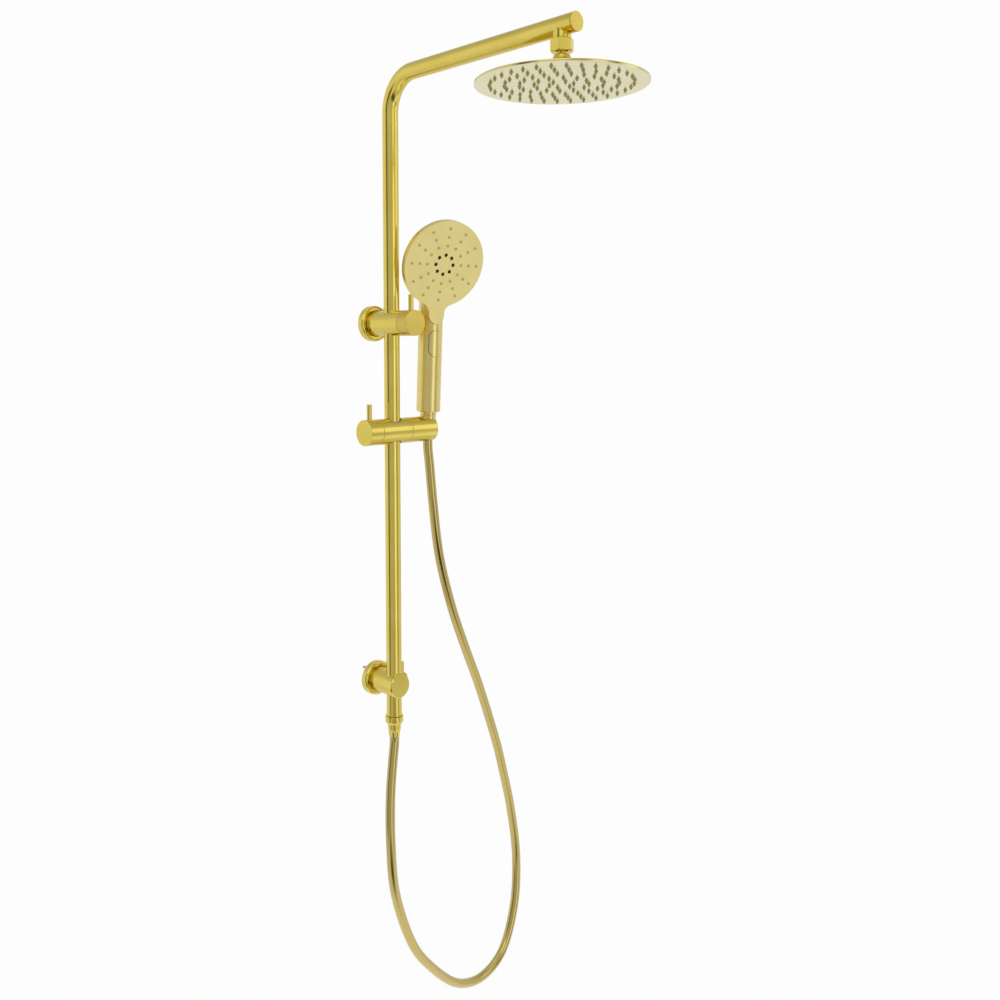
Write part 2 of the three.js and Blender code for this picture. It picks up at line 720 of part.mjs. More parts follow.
// The hose hangs from the handset in a long loop to the outlet. Places are from the riser axis.
const HOSE_ROUTE = [
  [66.3, 0.7, 351.6],
  [66.8, 0.9, 338],
  [70.2, 1.4, 314],
  [77.6, 2, 254],
  [91, 4, 177],
  [118, 7, 94],
  [148, 9, 24],
  [177, 12, -36],
  [199, 14, -87],
  [214, 15, -125],
  [228, 16, -162],
  [240, 17, -200],
  [261, 18, -276],
  [272, 15, -364],
  [261, 9, -443],
  [225, 2, -507],
  [177, -3, -525],
  [122, -7, -511],
  [54, -12, -448],
  [20, -14, -399],
  [-12, -14, -307],
  [-17, -11, -233],
  [-13, -6, -163],
  [-4.5, -2, -109],
  [-0.4, -0.1, -90],
  [0, 0, -84],
  [0, 0, FERRULE_BOTTOM - CLEAR],
];

function hose() {
  const points = HOSE_ROUTE.map(([x, y, z]) => new THREE.Vector3(x, y, z));
  const route = new THREE.CatmullRomCurve3(points, false, "centripetal");
  piece("hose", sweep(circle(HOSE_R, 0, HOSE_SIDES), route, HOSE_STEPS), hoseGold, riser);
}

// ---------------------------------------------------------------- slider and handset holder
const LINER_WALL = 1.45;
const LINER_R = PIPE_R + LINER_CLEAR + LINER_WALL;
const LOCK_SCREW_R = 4;
const SPIGOT_R = 8;
const SPIGOT_END = 38;
const HOLDER_WEB = 4;
const HOLDER_SCREW_R = 2.5;
const HOLDER_SCREW_HEAD_R = 4.3;
const LOCK_SHOE_T = 3.2;

function sliderPieces() {
  const slider = level(SLIDER_Z);
  const bodyLeft = -LOCK_SEAM + CLEAR / 2;
  const bodyRight = HOLDER_SEAM - CLEAR / 2;
  const barrel = sideways(rod(BARREL_R, bodyLeft, bodyRight));
  const spigot = sideways(rod(SPIGOT_R, 0, SPIGOT_END, PIPE_SIDES));
  const body = cut(
    join(barrel, spigot),
    rod(LINER_R + CLEAR, -BARREL_R - 1, BARREL_R + 1, ROUND),
    sideways(rod(LOCK_SCREW_R + CLEAR, bodyLeft - 1, 0, SMALL)),
    sideways(rod(HOLDER_SCREW_R + CLEAR, SPIGOT_END - 12, SPIGOT_END + 1, SMALL)),
  );
  piece("slider_body", body, brushedGold, slider);

  // The liner's ends follow the barrel, a little inside it.
  const sleeve = tube(LINER_R, PIPE_R + LINER_CLEAR, -BARREL_R, BARREL_R, PIPE_SIDES);
  const recess = sideways(rod(BARREL_R - 0.6, -BARREL_R, BARREL_R));
  piece("slider_liner", common(sleeve, recess), nylon, slider);

  const shoeInner = -LINER_R - CLEAR;
  const shoe = rod(LOCK_SCREW_R, shoeInner - LOCK_SHOE_T, shoeInner, SMALL);
  piece("lock_shoe", sideways(shoe), acetal, slider);
  const screwEnd = shoeInner - LOCK_SHOE_T - CLEAR;
  const screwHead = -LOCK_LEVER_X + LEVER_R + 2;
  piece("lock_screw", sideways(rod(LOCK_SCREW_R, screwHead, screwEnd, SMALL)), steel, slider);

  const knobRight = -LOCK_SEAM - CLEAR / 2;
  const knob = cut(
    sideways(chamferedRod(BARREL_R, -knobRight, LOCK_KNOB_END)).rotateZ(Math.PI),
    sideways(rod(LOCK_SCREW_R + CLEAR, screwHead - CLEAR, knobRight + 1, SMALL)),
    leverSocket(BARREL_R).translate(-LOCK_LEVER_X, 0, 0),
  );
  piece("lock_knob", knob, brushedGold, slider);
  const lever = leverPin(BARREL_R, LOCK_LEVER_LENGTH).translate(-LOCK_LEVER_X, 0, 0);
  piece("lock_lever", lever, brushedGold, slider);
  holderPieces(slider);
}

// The conical nut's radius at a height from the slider axis, along the handset's axis.
function coneRadius(z) {
  const share = (z - CONE_BOTTOM) / (CONE_TOP - CONE_BOTTOM);
  return CONE_BOTTOM_R + (CONE_TOP_R - CONE_BOTTOM_R) * share;
}

function holderPieces(slider) {
  const left = HOLDER_SEAM + CLEAR / 2;
  const reach = BARREL_R + 4;
  const seat = turned([
    [0, -reach],
    [coneRadius(-reach) + CLEAR, -reach],
    [coneRadius(reach) + CLEAR, reach],
    [0, reach],
  ]);
  const slotWall = new THREE.BoxGeometry(2 * BARREL_R, HOLDER_SLOT, 2 * reach);
  const tilt = rad(HANDSET_TILT);
  const place = (geometry) => geometry.rotateX(tilt).translate(HANDSET_X, 0, 0);
  const webEnd = SPIGOT_END + CLEAR + HOLDER_WEB;
  const holder = cut(
    sideways(chamferedRod(BARREL_R, left, HOLDER_END)),
    place(seat),
    place(slotWall.translate(BARREL_R, 0, 0)),
    sideways(rod(SPIGOT_R + CLEAR, left - 1, SPIGOT_END + CLEAR, PIPE_SIDES)),
    sideways(rod(HOLDER_SCREW_R + CLEAR, left, HANDSET_X, SMALL)),
    sideways(rod(HOLDER_SCREW_HEAD_R + CLEAR, webEnd, HANDSET_X, SMALL)),
    sideways(tube(WASHER_OUT + CLEAR, SPIGOT_R, left - 1, left + WASHER_T, PIPE_SIDES)),
  );
  piece("handset_holder", holder, brushedGold, slider);
  const washer = tube(WASHER_OUT, SPIGOT_R + CLEAR, left, left + WASHER_T - CLEAR, PIPE_SIDES);
  piece("holder_friction_washer", sideways(washer), acetal, slider);
  const screwHigh = webEnd + CLEAR + 3;
  const screw = turned(
    [
      [0, SPIGOT_END - 11],
      [HOLDER_SCREW_R, SPIGOT_END - 11],
      [HOLDER_SCREW_R, webEnd + CLEAR],
      [HOLDER_SCREW_HEAD_R, webEnd + CLEAR],
      [HOLDER_SCREW_HEAD_R, screwHigh],
      [0, screwHigh],
    ],
    SMALL,
  );
  piece("holder_screw", sideways(screw), steel, slider);
  handsetPieces(slider);
}

const WASHER_OUT = 13;
const WASHER_T = 1.2;

// ---------------------------------------------------------------- hand shower
const HANDLE_TOP = 238;
const HEAD_BACK = 15; // depth of the head's back behind its face
const CHAMBER_R = 52;
const TONGUE_HALF_W = 11.5;
const TONGUE_TOP_R = 14;
const TONGUE_BEND = 61.5; // from the face's centre down to the bend of its tongue
const TONGUE_FOOT = 150; // lower tip of the face plate's tongue
const TONGUE_BACK = 12.4; // back of the tongue's foot, from the handle axis
const HANDLE_INLET_R = 9.6;
const HANDLE_BORE_R = HANDLE_R - HANDLE_WALL;

// The head's own frame: the spray face's centre, with +Z along the way the spray leaves.
function headFrame() {
  const turn = new THREE.Matrix4().makeRotationX(rad(90 + SPRAY_DROP));
  return turn.setPosition(0, -SPRAY_FORWARD, SPRAY_Z);
}

const inHead = (geometry) => geometry.applyMatrix4(headFrame());

// The bend of the tongue: its height, and its distance ahead of the handle axis.
const BEND_Z = SPRAY_Z - TONGUE_BEND * Math.cos(rad(SPRAY_DROP));
const BEND_FORWARD = SPRAY_FORWARD - TONGUE_BEND * Math.sin(rad(SPRAY_DROP));
const TONGUE_TIP = TONGUE_BEND + BEND_Z - TONGUE_FOOT; // of the flat blank, from the face's centre

// The face plate's outline: a disc that runs down into a round-ended tongue with hollow corners.
function faceOutline(radius, tongue, tip) {
  const corner = TONGUE_TOP_R;
  const side = tongue + corner;
  const drop = Math.sqrt((radius + corner) ** 2 - side ** 2);
  const meet = Math.atan2(drop, side);
  const shape = new THREE.Shape();
  shape.absarc(0, 0, radius, -meet, Math.PI + meet, false);
  shape.absarc(-side, -drop, corner, meet, 0, true);
  shape.absarc(0, tongue - tip, tongue, Math.PI, 2 * Math.PI, false);
  shape.absarc(side, -drop, corner, Math.PI, Math.PI - meet, true);
  return shape;
}

function handsetPieces(slider) {
  const handset = new THREE.Group();
  handset.position.x = HANDSET_X;
  handset.rotation.x = rad(HANDSET_TILT);
  slider.add(handset);
  const facing = new THREE.Group();
  facing.rotation.z = rad(SPRAY_TURN);
  handset.add(facing);
  handsetBody(facing);
  handsetHead(facing);
  modeButton(facing);
  coneNut(handset);
}

function buttonShape(grow) {
  const w = BUTTON_HALF_W + grow;
  const h = BUTTON_HALF_H + grow;
  const shape = new THREE.Shape();
  shape.absarc(0, h - w, w, 0, Math.PI, false);
  shape.absarc(0, w - h, w, Math.PI, 2 * Math.PI, false);
  return shape;
}

// A flat outline pushed out towards the handset's front, from one distance to another.
function frontPrism(shape, from, to, z, curveSegments = 6) {
  const settings = { depth: to - from, bevelEnabled: false, curveSegments };
  return new THREE.ExtrudeGeometry(shape, settings).translate(0, 0, from)
    .rotateX(Math.PI / 2).translate(0, 0, z);
}

const BUTTON_WELL = 11; // floor of the button's well, from the handle's axis
const BUTTON_PROUD = 0.8;

function handsetBody(facing) {
  const dome = 6;
  const handle = turned([
    [0, HANDLE_FOOT],
    [HANDLE_R - 1, HANDLE_FOOT],
    [HANDLE_R, HANDLE_FOOT + 1],
    [HANDLE_R, HANDLE_TOP - dome],
    [HANDLE_R - 2, HANDLE_TOP - 2],
    [HANDLE_R - dome, HANDLE_TOP],
    [0, HANDLE_TOP],
  ]);
  const rimBack = -FACE_T - CLEAR;
  const cup = turned(
    [
      [0, rimBack],
      [SPRAY_R, rimBack],
      [SPRAY_R, rimBack - SPRAY_RIM + 3],
      [SPRAY_R - 3, rimBack - SPRAY_RIM],
      [HANDLE_R + 14, -HEAD_BACK],
      [0, -HEAD_BACK - 2],
    ],
    DISC,
  );
  const neckShape = faceOutline(SPRAY_R - 4, TONGUE_HALF_W, TONGUE_TIP);
  const neck = new THREE.ExtrudeGeometry(neckShape, {
    depth: SPRAY_RIM,
    bevelEnabled: false,
    curveSegments: 8,
  }).translate(0, 0, rimBack - SPRAY_RIM);
  const plateRoom = facePrism(CLEAR, HANDLE_R, rimBack);
  const well = frontPrism(buttonShape(CLEAR), BUTTON_WELL, HANDLE_R + 5, BUTTON_Z);
  const chamber = rod(CHAMBER_R, -HEAD_BACK + 4, 1, DISC);
  const tongueBed = tongueFoot(CLEAR, BEND_FORWARD + HANDLE_R);
  const body = cut(
    cut(join(handle, inHead(cup), inHead(neck)), inHead(plateRoom)),
    inHead(chamber),
    rod(HANDLE_BORE_R, HANDLE_FOOT + 20, BUTTON_Z - BUTTON_HALF_H - 4, PIPE_SIDES),
    rod(HANDLE_INLET_R, HANDLE_FOOT - 1, HANDLE_FOOT + 22, PIPE_SIDES),
    rod(BORE_R, HANDLE_FOOT + 20, SPRAY_Z - 8, SMALL).translate(0, 2, 0),
    well,
    tongueBed,
  );
  piece("handset_body", body, handsetGold, facing);

  const valveLow = HANDLE_FOOT + 9;
  const check = tube(HANDLE_INLET_R - CLEAR, 4, valveLow, valveLow + 9, SMALL);
  piece("check_valve", check, acetal, facing);
}

function grownOutline(grow) {
  return faceOutline(SPRAY_R + grow, TONGUE_HALF_W + grow, TONGUE_TIP + grow);
}

// The face plate above the bend of its tongue, from one depth to another in the head's frame.
function facePrism(grow, depth, from, holes = []) {
  const outline = grownOutline(grow);
  outline.holes.push(...holes);
  const settings = { depth, bevelEnabled: false, curveSegments: 8 };
  const whole = new THREE.ExtrudeGeometry(outline, settings).translate(0, 0, from);
  const size = 4 * SPRAY_R;
  const above = new THREE.BoxGeometry(size, size, size);
  return common(whole, above.translate(0, size / 2 - TONGUE_BEND - grow, 0));
}

// Below the bend the tongue lies along the front of the handle, and ends in a half round.
function tongueFoot(grow, front) {
  const blank = frontPrism(grownOutline(grow), TONGUE_BACK - grow, front, BEND_Z + TONGUE_BEND);
  const size = 4 * SPRAY_R;
  const below = new THREE.BoxGeometry(size, size, size);
  return common(blank, below.translate(0, 0, BEND_Z + grow - size / 2));
}

function handsetHead(facing) {
  const holes = Array.from({ length: SPRAY_HOLES }, (_, i) => {
    const angle = (i * 2 * Math.PI) / SPRAY_HOLES;
    const [x, y] = [SPRAY_RING * Math.sin(angle), SPRAY_RING * Math.cos(angle)];
    return new THREE.Path().absarc(x, y, SPRAY_HOLE_R, 0, 2 * Math.PI, true);
  });
  const plate = inHead(facePrism(0, FACE_T, -FACE_T, holes));
  piece("spray_face", join(plate, tongueFoot(0, BEND_FORWARD)), handsetGold, facing);

  const matTop = -FACE_T - CLEAR;
  const mat = rod(CHAMBER_R - CLEAR, matTop - 2, matTop, DISC);
  piece("spray_nozzle_mat", inHead(mat), silicone, facing);
  const plateLow = -HEAD_BACK + 4 + CLEAR;
  const distributor = tube(CHAMBER_R - 6, 5, plateLow, matTop - 2 - CLEAR, PIPE_SIDES);
  piece("spray_distributor", inHead(distributor), acetal, facing);
}

const SPRAY_HOLES = 8;
const SPRAY_RING = 13.5;
const SPRAY_HOLE_R = 2.2;

function modeButton(facing) {
  const back = BUTTON_WELL + BUTTON_TRAVEL + 2.5;
  const blank = frontPrism(buttonShape(0), back, HANDLE_R + 4, BUTTON_Z);
  const skin = rod(HANDLE_R + BUTTON_PROUD, BUTTON_Z - 30, BUTTON_Z + 30);
  piece("mode_button", common(blank, skin), handsetGold, facing);

  const turns = 3;
  const from = BUTTON_WELL + SPRING_WIRE + CLEAR;
  const rise = back - SPRING_WIRE - CLEAR - from;
  const stations = Array.from({ length: turns * 8 + 1 }, (_, i) => {
    const angle = (i * Math.PI) / 4;
    const climb = rise / (turns * 2 * Math.PI);
    const at = new THREE.Vector3(
      SPRING_R * Math.cos(angle),
      SPRING_R * Math.sin(angle),
      from + climb * angle,
    );
    const along = new THREE.Vector3(
      -SPRING_R * Math.sin(angle),
      SPRING_R * Math.cos(angle),
      climb,
    ).normalize();
    return { at, along };
  });
  const coil = sweep(circle(SPRING_WIRE, 0, 5), new StationLine(stations), stations.length - 1);
  piece("button_spring", forward(coil).translate(0, 0, BUTTON_Z), steel, facing);
}

const SPRING_R = 4;
const SPRING_WIRE = 0.35;

const NUT_THREAD_R = 9;

// The hose's conical nut, its insert and washer, which lift out of the holder with the handset.
function coneNut(handset) {
  const bore = HOSE_R + 0.6;
  const cone = turned([
    [CONE_BOTTOM_R - 0.5, CONE_BOTTOM],
    [CONE_BOTTOM_R, CONE_BOTTOM + 0.5],
    [CONE_TOP_R, CONE_TOP],
    [bore - 2, CONE_TOP],
    [bore - 2, CONE_BOTTOM + 10],
    [bore, CONE_BOTTOM + 10],
    [bore, CONE_BOTTOM],
  ]);
  piece("hose_cone_nut", cone, handsetGold, handset);
  const insert = turned(
    [
      [INSERT_BORE, CONE_BOTTOM + 1.5],
      [INSERT_R + 1.3, CONE_BOTTOM + 1.5],
      [INSERT_R + 1.3, CONE_TOP + CLEAR],
      [NUT_THREAD_R, CONE_TOP + CLEAR],
      [NUT_THREAD_R, CONE_TOP + 2],
      [INSERT_BORE, CONE_TOP + 2],
    ],
    SMALL,
  );
  piece("hose_insert_upper", insert, brass, handset);
  const low = CONE_TOP + 2 + CLEAR;
  piece("handset_washer", tube(NUT_THREAD_R, 5, low, low + 2, SMALL), rubber, handset);
}

armPieces();
rainHeadPieces();
upperBracket();
lowerBracket();
outletAndCoupling();
hose();
sliderPieces();

export default column;
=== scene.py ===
"""Rainfall shower column: the visible pieces and their finishes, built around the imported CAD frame.

Sizes are millimetres in the riser's own frame: its axis is x = y = 0, z = 0 is the lower bracket's
height, +Y points into the wall and -Y into the room. RISER carries them to the row frame in metres.
"""

import json
import logging
import math
from collections.abc import Callable, Sequence
from dataclasses import dataclass
from enum import Enum
from typing import Any

import bmesh
import bpy
from bmesh.types import BMEdge, BMesh, BMFace, BMVert
from mathutils import Matrix, Vector


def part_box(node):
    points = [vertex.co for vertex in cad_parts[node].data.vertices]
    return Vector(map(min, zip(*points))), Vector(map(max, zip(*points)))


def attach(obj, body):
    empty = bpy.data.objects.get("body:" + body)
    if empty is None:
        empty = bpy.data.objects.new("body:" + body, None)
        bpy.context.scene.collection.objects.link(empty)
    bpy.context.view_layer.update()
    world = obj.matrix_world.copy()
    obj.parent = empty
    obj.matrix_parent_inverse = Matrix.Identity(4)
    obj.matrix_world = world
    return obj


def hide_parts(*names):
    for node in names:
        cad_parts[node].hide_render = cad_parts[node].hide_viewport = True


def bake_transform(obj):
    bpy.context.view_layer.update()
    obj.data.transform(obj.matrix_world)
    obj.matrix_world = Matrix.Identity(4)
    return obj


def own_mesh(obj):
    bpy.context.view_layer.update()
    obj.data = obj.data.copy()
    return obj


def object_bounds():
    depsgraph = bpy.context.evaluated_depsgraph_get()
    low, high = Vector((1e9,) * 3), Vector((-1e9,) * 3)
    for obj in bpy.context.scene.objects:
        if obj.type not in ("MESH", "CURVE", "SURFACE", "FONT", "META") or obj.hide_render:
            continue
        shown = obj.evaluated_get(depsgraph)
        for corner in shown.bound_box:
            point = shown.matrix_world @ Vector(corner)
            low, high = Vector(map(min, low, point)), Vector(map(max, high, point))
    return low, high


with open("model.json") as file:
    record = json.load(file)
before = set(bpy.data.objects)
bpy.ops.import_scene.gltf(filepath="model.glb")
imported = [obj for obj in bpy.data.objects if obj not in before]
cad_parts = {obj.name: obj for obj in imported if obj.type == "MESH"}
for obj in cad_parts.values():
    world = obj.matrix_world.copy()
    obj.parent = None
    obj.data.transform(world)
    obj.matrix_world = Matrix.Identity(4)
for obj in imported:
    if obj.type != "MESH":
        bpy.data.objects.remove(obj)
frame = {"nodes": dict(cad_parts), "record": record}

CAD_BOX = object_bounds()
LOG = logging.getLogger("shower_column")

Profile = Sequence[tuple[float, float]]

MM = 0.001
FULL_TURN = 2 * math.pi
SEAM_ANGLE = math.radians(28)
RIM_ANGLE = math.radians(60)
SHADE_ANGLE = math.radians(35)
HOSE_SHADE_ANGLE = math.radians(50)

# The clearance that neighbouring pieces keep.
GAP = 0.3


def riser_place() -> Matrix:
    """The riser's millimetre frame in the row frame, read from the riser pipe's box."""
    low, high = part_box("riser_pipe")
    return Matrix.Translation(((low.x + high.x) / 2, (low.y + high.y) / 2, 0)) @ Matrix.Scale(MM, 4)


RISER = riser_place()


def reach(node: str) -> tuple[Vector, Vector]:
    """A CAD node's box in the riser's frame.

    Args:
        node: the node's name.

    Returns:
        Its lowest and highest corner, in millimetres.
    """
    back = RISER.inverted()
    low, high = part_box(node)
    return back @ low, back @ high


class Axis(Enum):
    """The way a turned piece's own +Z points."""

    UP = "up"
    FORWARD = "forward"
    RIGHT = "right"
    LEFT = "left"

    def turn(self) -> Matrix:
        """The rotation that lays +Z along this axis.

        Returns:
            The rotation, about the origin.
        """
        turns = {
            Axis.UP: Matrix.Identity(4),
            Axis.FORWARD: Matrix.Rotation(math.pi / 2, 4, "X"),
            Axis.RIGHT: Matrix.Rotation(math.pi / 2, 4, "Y"),
            Axis.LEFT: Matrix.Rotation(-math.pi / 2, 4, "Y"),
        }
        return turns[self]


class Cut(Enum):
    """What a boolean step keeps."""

    JOIN = "UNION"
    AWAY = "DIFFERENCE"
    COMMON = "INTERSECT"


# ------------------------------------------------------------------ shaping
def closed(bm: BMesh) -> BMesh:
    """Merges a mesh's doubles and points its faces outwards."""
    bmesh.ops.remove_doubles(bm, verts=bm.verts, dist=1e-4)
    bmesh.ops.recalc_face_normals(bm, faces=bm.faces)
    return bm


def turned(profile: Profile, steps: int = 96) -> BMesh:
    """Turns a profile about Z.

    Args:
        profile: radius and height of each corner. It starts and ends on the axis, or it is a
            ring's outline, whose last corner joins the first.
        steps: faces round the full turn.

    Returns:
        The closed shape.
    """
    bm = bmesh.new()
    corners = [bm.verts.new((radius, 0, height)) for radius, height in profile]
    edges = [bm.edges.new(pair) for pair in zip(corners, corners[1:])]
    if profile[0][0] > 0:
        edges.append(bm.edges.new((corners[-1], corners[0])))
    bmesh.ops.spin(
        bm, geom=corners + edges, cent=(0, 0, 0), axis=(0, 0, 1), dvec=(0, 0, 0),
        angle=FULL_TURN, steps=steps, use_merge=True, use_duplicate=False,
    )
    return closed(bm)


def rod(radius: float, low: float, high: float, steps: int = 96) -> BMesh:
    """A plain rod about Z."""
    return turned([(0, low), (radius, low), (radius, high), (0, high)], steps)


def tube(outer: float, inner: float, low: float, high: float, steps: int = 96) -> BMesh:
    """A plain tube about Z."""
    return turned([(inner, low), (outer, low), (outer, high), (inner, high)], steps)


def sharp_edges(bm: BMesh, angle: float = SEAM_ANGLE) -> list[BMEdge]:
    """The edges where two faces meet at more than an angle."""
    return [e for e in bm.edges if len(e.link_faces) == 2 and e.calc_face_angle(0) > angle]


def bevelled(
    bm: BMesh, edges: list[BMEdge], width: float, segments: int, clamp: bool = True
) -> BMesh:
    """Bevels some edges of a shape.

    Args:
        bm: the shape.
        edges: the edges.
        width: how far the bevel reaches from each edge.
        segments: steps across it.
        clamp: whether bevels that would cross each other are held back.

    Returns:
        The same shape.
    """
    bmesh.ops.bevel(
        bm, geom=edges, offset=width, offset_type="OFFSET", segments=segments, affect="EDGES",
        profile=0.5, material=-1, clamp_overlap=clamp,
    )
    return bm


def softened(bm: BMesh, width: float, segments: int = 3) -> BMesh:
    """Rounds a shape's sharp edges.

    Args:
        bm: the shape.
        width: how far the rounding reaches from each edge.
        segments: steps across the rounding.

    Returns:
        The same shape.
    """
    return bevelled(bm, sharp_edges(bm), width, segments)


def placed(bm: BMesh, place: Matrix) -> BMesh:
    """Moves a shape."""
    bmesh.ops.transform(bm, matrix=place, verts=bm.verts)
    return bm


def at(x: float = 0, y: float = 0, z: float = 0, axis: Axis = Axis.UP) -> Matrix:
    """A place in the riser's frame, with +Z along an axis."""
    return Matrix.Translation((x, y, z)) @ axis.turn()


def only(geom: Sequence[Any], kind: type) -> list[Any]:
    """The items of one kind among what an operator made."""
    return [item for item in geom if isinstance(item, kind)]


def extruded(outline: Sequence[tuple[float, float]], low: float, high: float) -> BMesh:
    """Pushes a flat outline up along Z.

    Args:
        outline: its corners in order.
        low: height of its foot.
        high: height of its top.

    Returns:
        The closed prism.
    """
    bm = bmesh.new()
    face = bm.faces.new([bm.verts.new((x, y, low)) for x, y in outline])
    top = bmesh.ops.extrude_face_region(bm, geom=[face], use_keep_orig=True)["geom"]
    bmesh.ops.translate(bm, verts=only(top, BMVert), vec=(0, 0, high - low))
    return closed(bm)


def as_object(name: str, bm: BMesh) -> bpy.types.Object:
    """Puts a shape into the scene and uses it up.

    Args:
        name: the new object's name.
        bm: the shape.

    Returns:
        The object.
    """
    mesh = bpy.data.meshes.new(name)
    bm.to_mesh(mesh)
    bm.free()
    obj = bpy.data.objects.new(name, mesh)
    bpy.context.scene.collection.objects.link(obj)
    return obj


def gather(whole: BMesh, part: BMesh) -> None:
    """Adds a shape to a group of like shapes and uses it up.

    Args:
        whole: the group.
        part: the shape.
    """
    mesh = bpy.data.meshes.new("scratch")
    part.to_mesh(mesh)
    part.free()
    whole.from_mesh(mesh)
    bpy.data.meshes.remove(mesh)


def combined(base: BMesh, mode: Cut, *tools: BMesh) -> BMesh:
    """Joins shapes to a shape, or cuts it with them.

    Args:
        base: the shape that is worked on.
        mode: join, cut away or keep what is common.
        tools: the other shapes, used up here.

    Returns:
        The new shape.
    """
    body = as_object("scratch", base)
    used = [body]
    for tool in tools:
        other = as_object("scratch", tool)
        used.append(other)
        step = body.modifiers.new("combine", "BOOLEAN")
        step.operation = mode.value
        step.solver = "EXACT"
        step.object = other
    graph = bpy.context.evaluated_depsgraph_get()
    result = bpy.data.meshes.new_from_object(body.evaluated_get(graph))
    bm = bmesh.new()
    bm.from_mesh(result)
    for obj in used:
        mesh = obj.data
        bpy.data.objects.remove(obj)
        bpy.data.meshes.remove(mesh)
    bpy.data.meshes.remove(result)
    bmesh.ops.remove_doubles(bm, verts=bm.verts, dist=1e-3)
    bmesh.ops.dissolve_degenerate(bm, edges=bm.edges, dist=1e-3)
    return bm


def arc(
    centre: tuple[float, float], radius: float, start: float, end: float, steps: int
) -> list[tuple[float, float]]:
    """Points along an arc.

    Args:
        centre: its centre.
        radius: its radius.
        start: first angle, in degrees.
        end: last angle, in degrees.
        steps: stretches between the points.

    Returns:
        The points in order.
    """
    angles = [math.radians(start + (end - start) * i / steps) for i in range(steps + 1)]
    return [(centre[0] + radius * math.cos(a), centre[1] + radius * math.sin(a)) for a in angles]


# ------------------------------------------------------------------ finishes
def linear(hex_colour: str) -> tuple[float, float, float, float]:
    """Turns an sRGB colour to linear.

    Args:
        hex_colour: its six hex digits.

    Returns:
        Red, green, blue and an alpha of 1.
    """
    parts = [int(hex_colour[i : i + 2], 16) / 255 for i in (0, 2, 4)]
    toe, gamma = 0.04045, 2.4
    bent = [c / 12.92 if c <= toe else ((c + 0.055) / 1.055) ** gamma for c in parts]
    return (bent[0], bent[1], bent[2], 1.0)


def add(tree: bpy.types.NodeTree, kind: str, inputs: dict[Any, Any], **settings: Any) -> Any:
    """Adds a shader node.

    Args:
        tree: the tree that gets it.
        kind: the node's type name, without the ShaderNode prefix.
        inputs: socket name or number to a value, or to another node's output socket.
        settings: the node's own properties.

    Returns:
        The node.
    """
    node = tree.nodes.new("ShaderNode" + kind)
    for name, value in settings.items():
        setattr(node, name, value)
    for socket, value in inputs.items():
        if isinstance(value, bpy.types.NodeSocket):
            tree.links.new(value, node.inputs[socket])
        else:
            node.inputs[socket].default_value = value
    return node


def blank_material(name: str) -> tuple[bpy.types.Material, bpy.types.NodeTree]:
    """Makes a node material with nothing in it.

    Args:
        name: the material's name.

    Returns:
        The material and its tree.
    """
    material = bpy.data.materials.new(name)
    material.use_nodes = True
    material.node_tree.nodes.clear()
    return material, material.node_tree


class Grain(Enum):
    """The axis across which brushing lines run, which is a turned piece's own axis."""

    ALONG_X = 0
    ALONG_Y = 1
    ALONG_Z = 2


def colour_output(mix: bpy.types.Node) -> bpy.types.NodeSocket:
    """The colour output of a Mix node, which has one output for each data type."""
    return next(s for s in mix.outputs if s.type == "RGBA" and s.enabled)


@dataclass(frozen=True)
class MetalSkin:
    """What the metal finishes share: a coating whose colour drifts in broad clouds, and a fine
    pattern that varies its gloss and its height.
    """

    name: str
    colour: str
    deep: str
    roughness: float
    spread: float = 0.04
    depth: float = 0.08
    relief_mm: float = 0.02
    cloud_mm: float = 24.0
    cloud_top: float = 0.7
    cloud_share: float = 0.35

    def finish(
        self, tree: bpy.types.NodeTree, spot: bpy.types.NodeSocket, pattern: bpy.types.NodeSocket
    ) -> None:
        """Builds the surface from its fine pattern.

        Args:
            tree: the material's tree.
            spot: the coordinates that the clouds lie in.
            pattern: the fine pattern, from 0 to 1.
        """
        cloud_scale = 1 / (self.cloud_mm * MM)
        clouds = add(
            tree, "TexNoise", {"Vector": spot, "Scale": cloud_scale, "Detail": 2.0}
        ).outputs["Fac"]
        share = add(
            tree, "MapRange",
            {
                "Value": clouds, "From Min": 0.35, "From Max": self.cloud_top,
                "To Min": 0.0, "To Max": self.cloud_share,
            },
        ).outputs["Result"]
        tone = add(
            tree, "Mix",
            {"Factor": share, "A": linear(self.colour), "B": linear(self.deep)},
            data_type="RGBA",
        )
        gloss = add(
            tree, "MapRange",
            {
                "Value": pattern, "From Min": 0.3, "From Max": 0.7,
                "To Min": self.roughness - self.spread, "To Max": self.roughness + self.spread,
            },
        ).outputs["Result"]
        bump = add(
            tree, "Bump",
            {"Height": pattern, "Strength": self.depth, "Distance": self.relief_mm * MM},
        ).outputs["Normal"]
        surface = add(
            tree, "BsdfPrincipled",
            {
                "Base Color": colour_output(tone), "Metallic": 1.0, "Roughness": gloss,
                "Normal": bump,
            },
        )
        add(tree, "OutputMaterial", {"Surface": surface.outputs["BSDF"]})


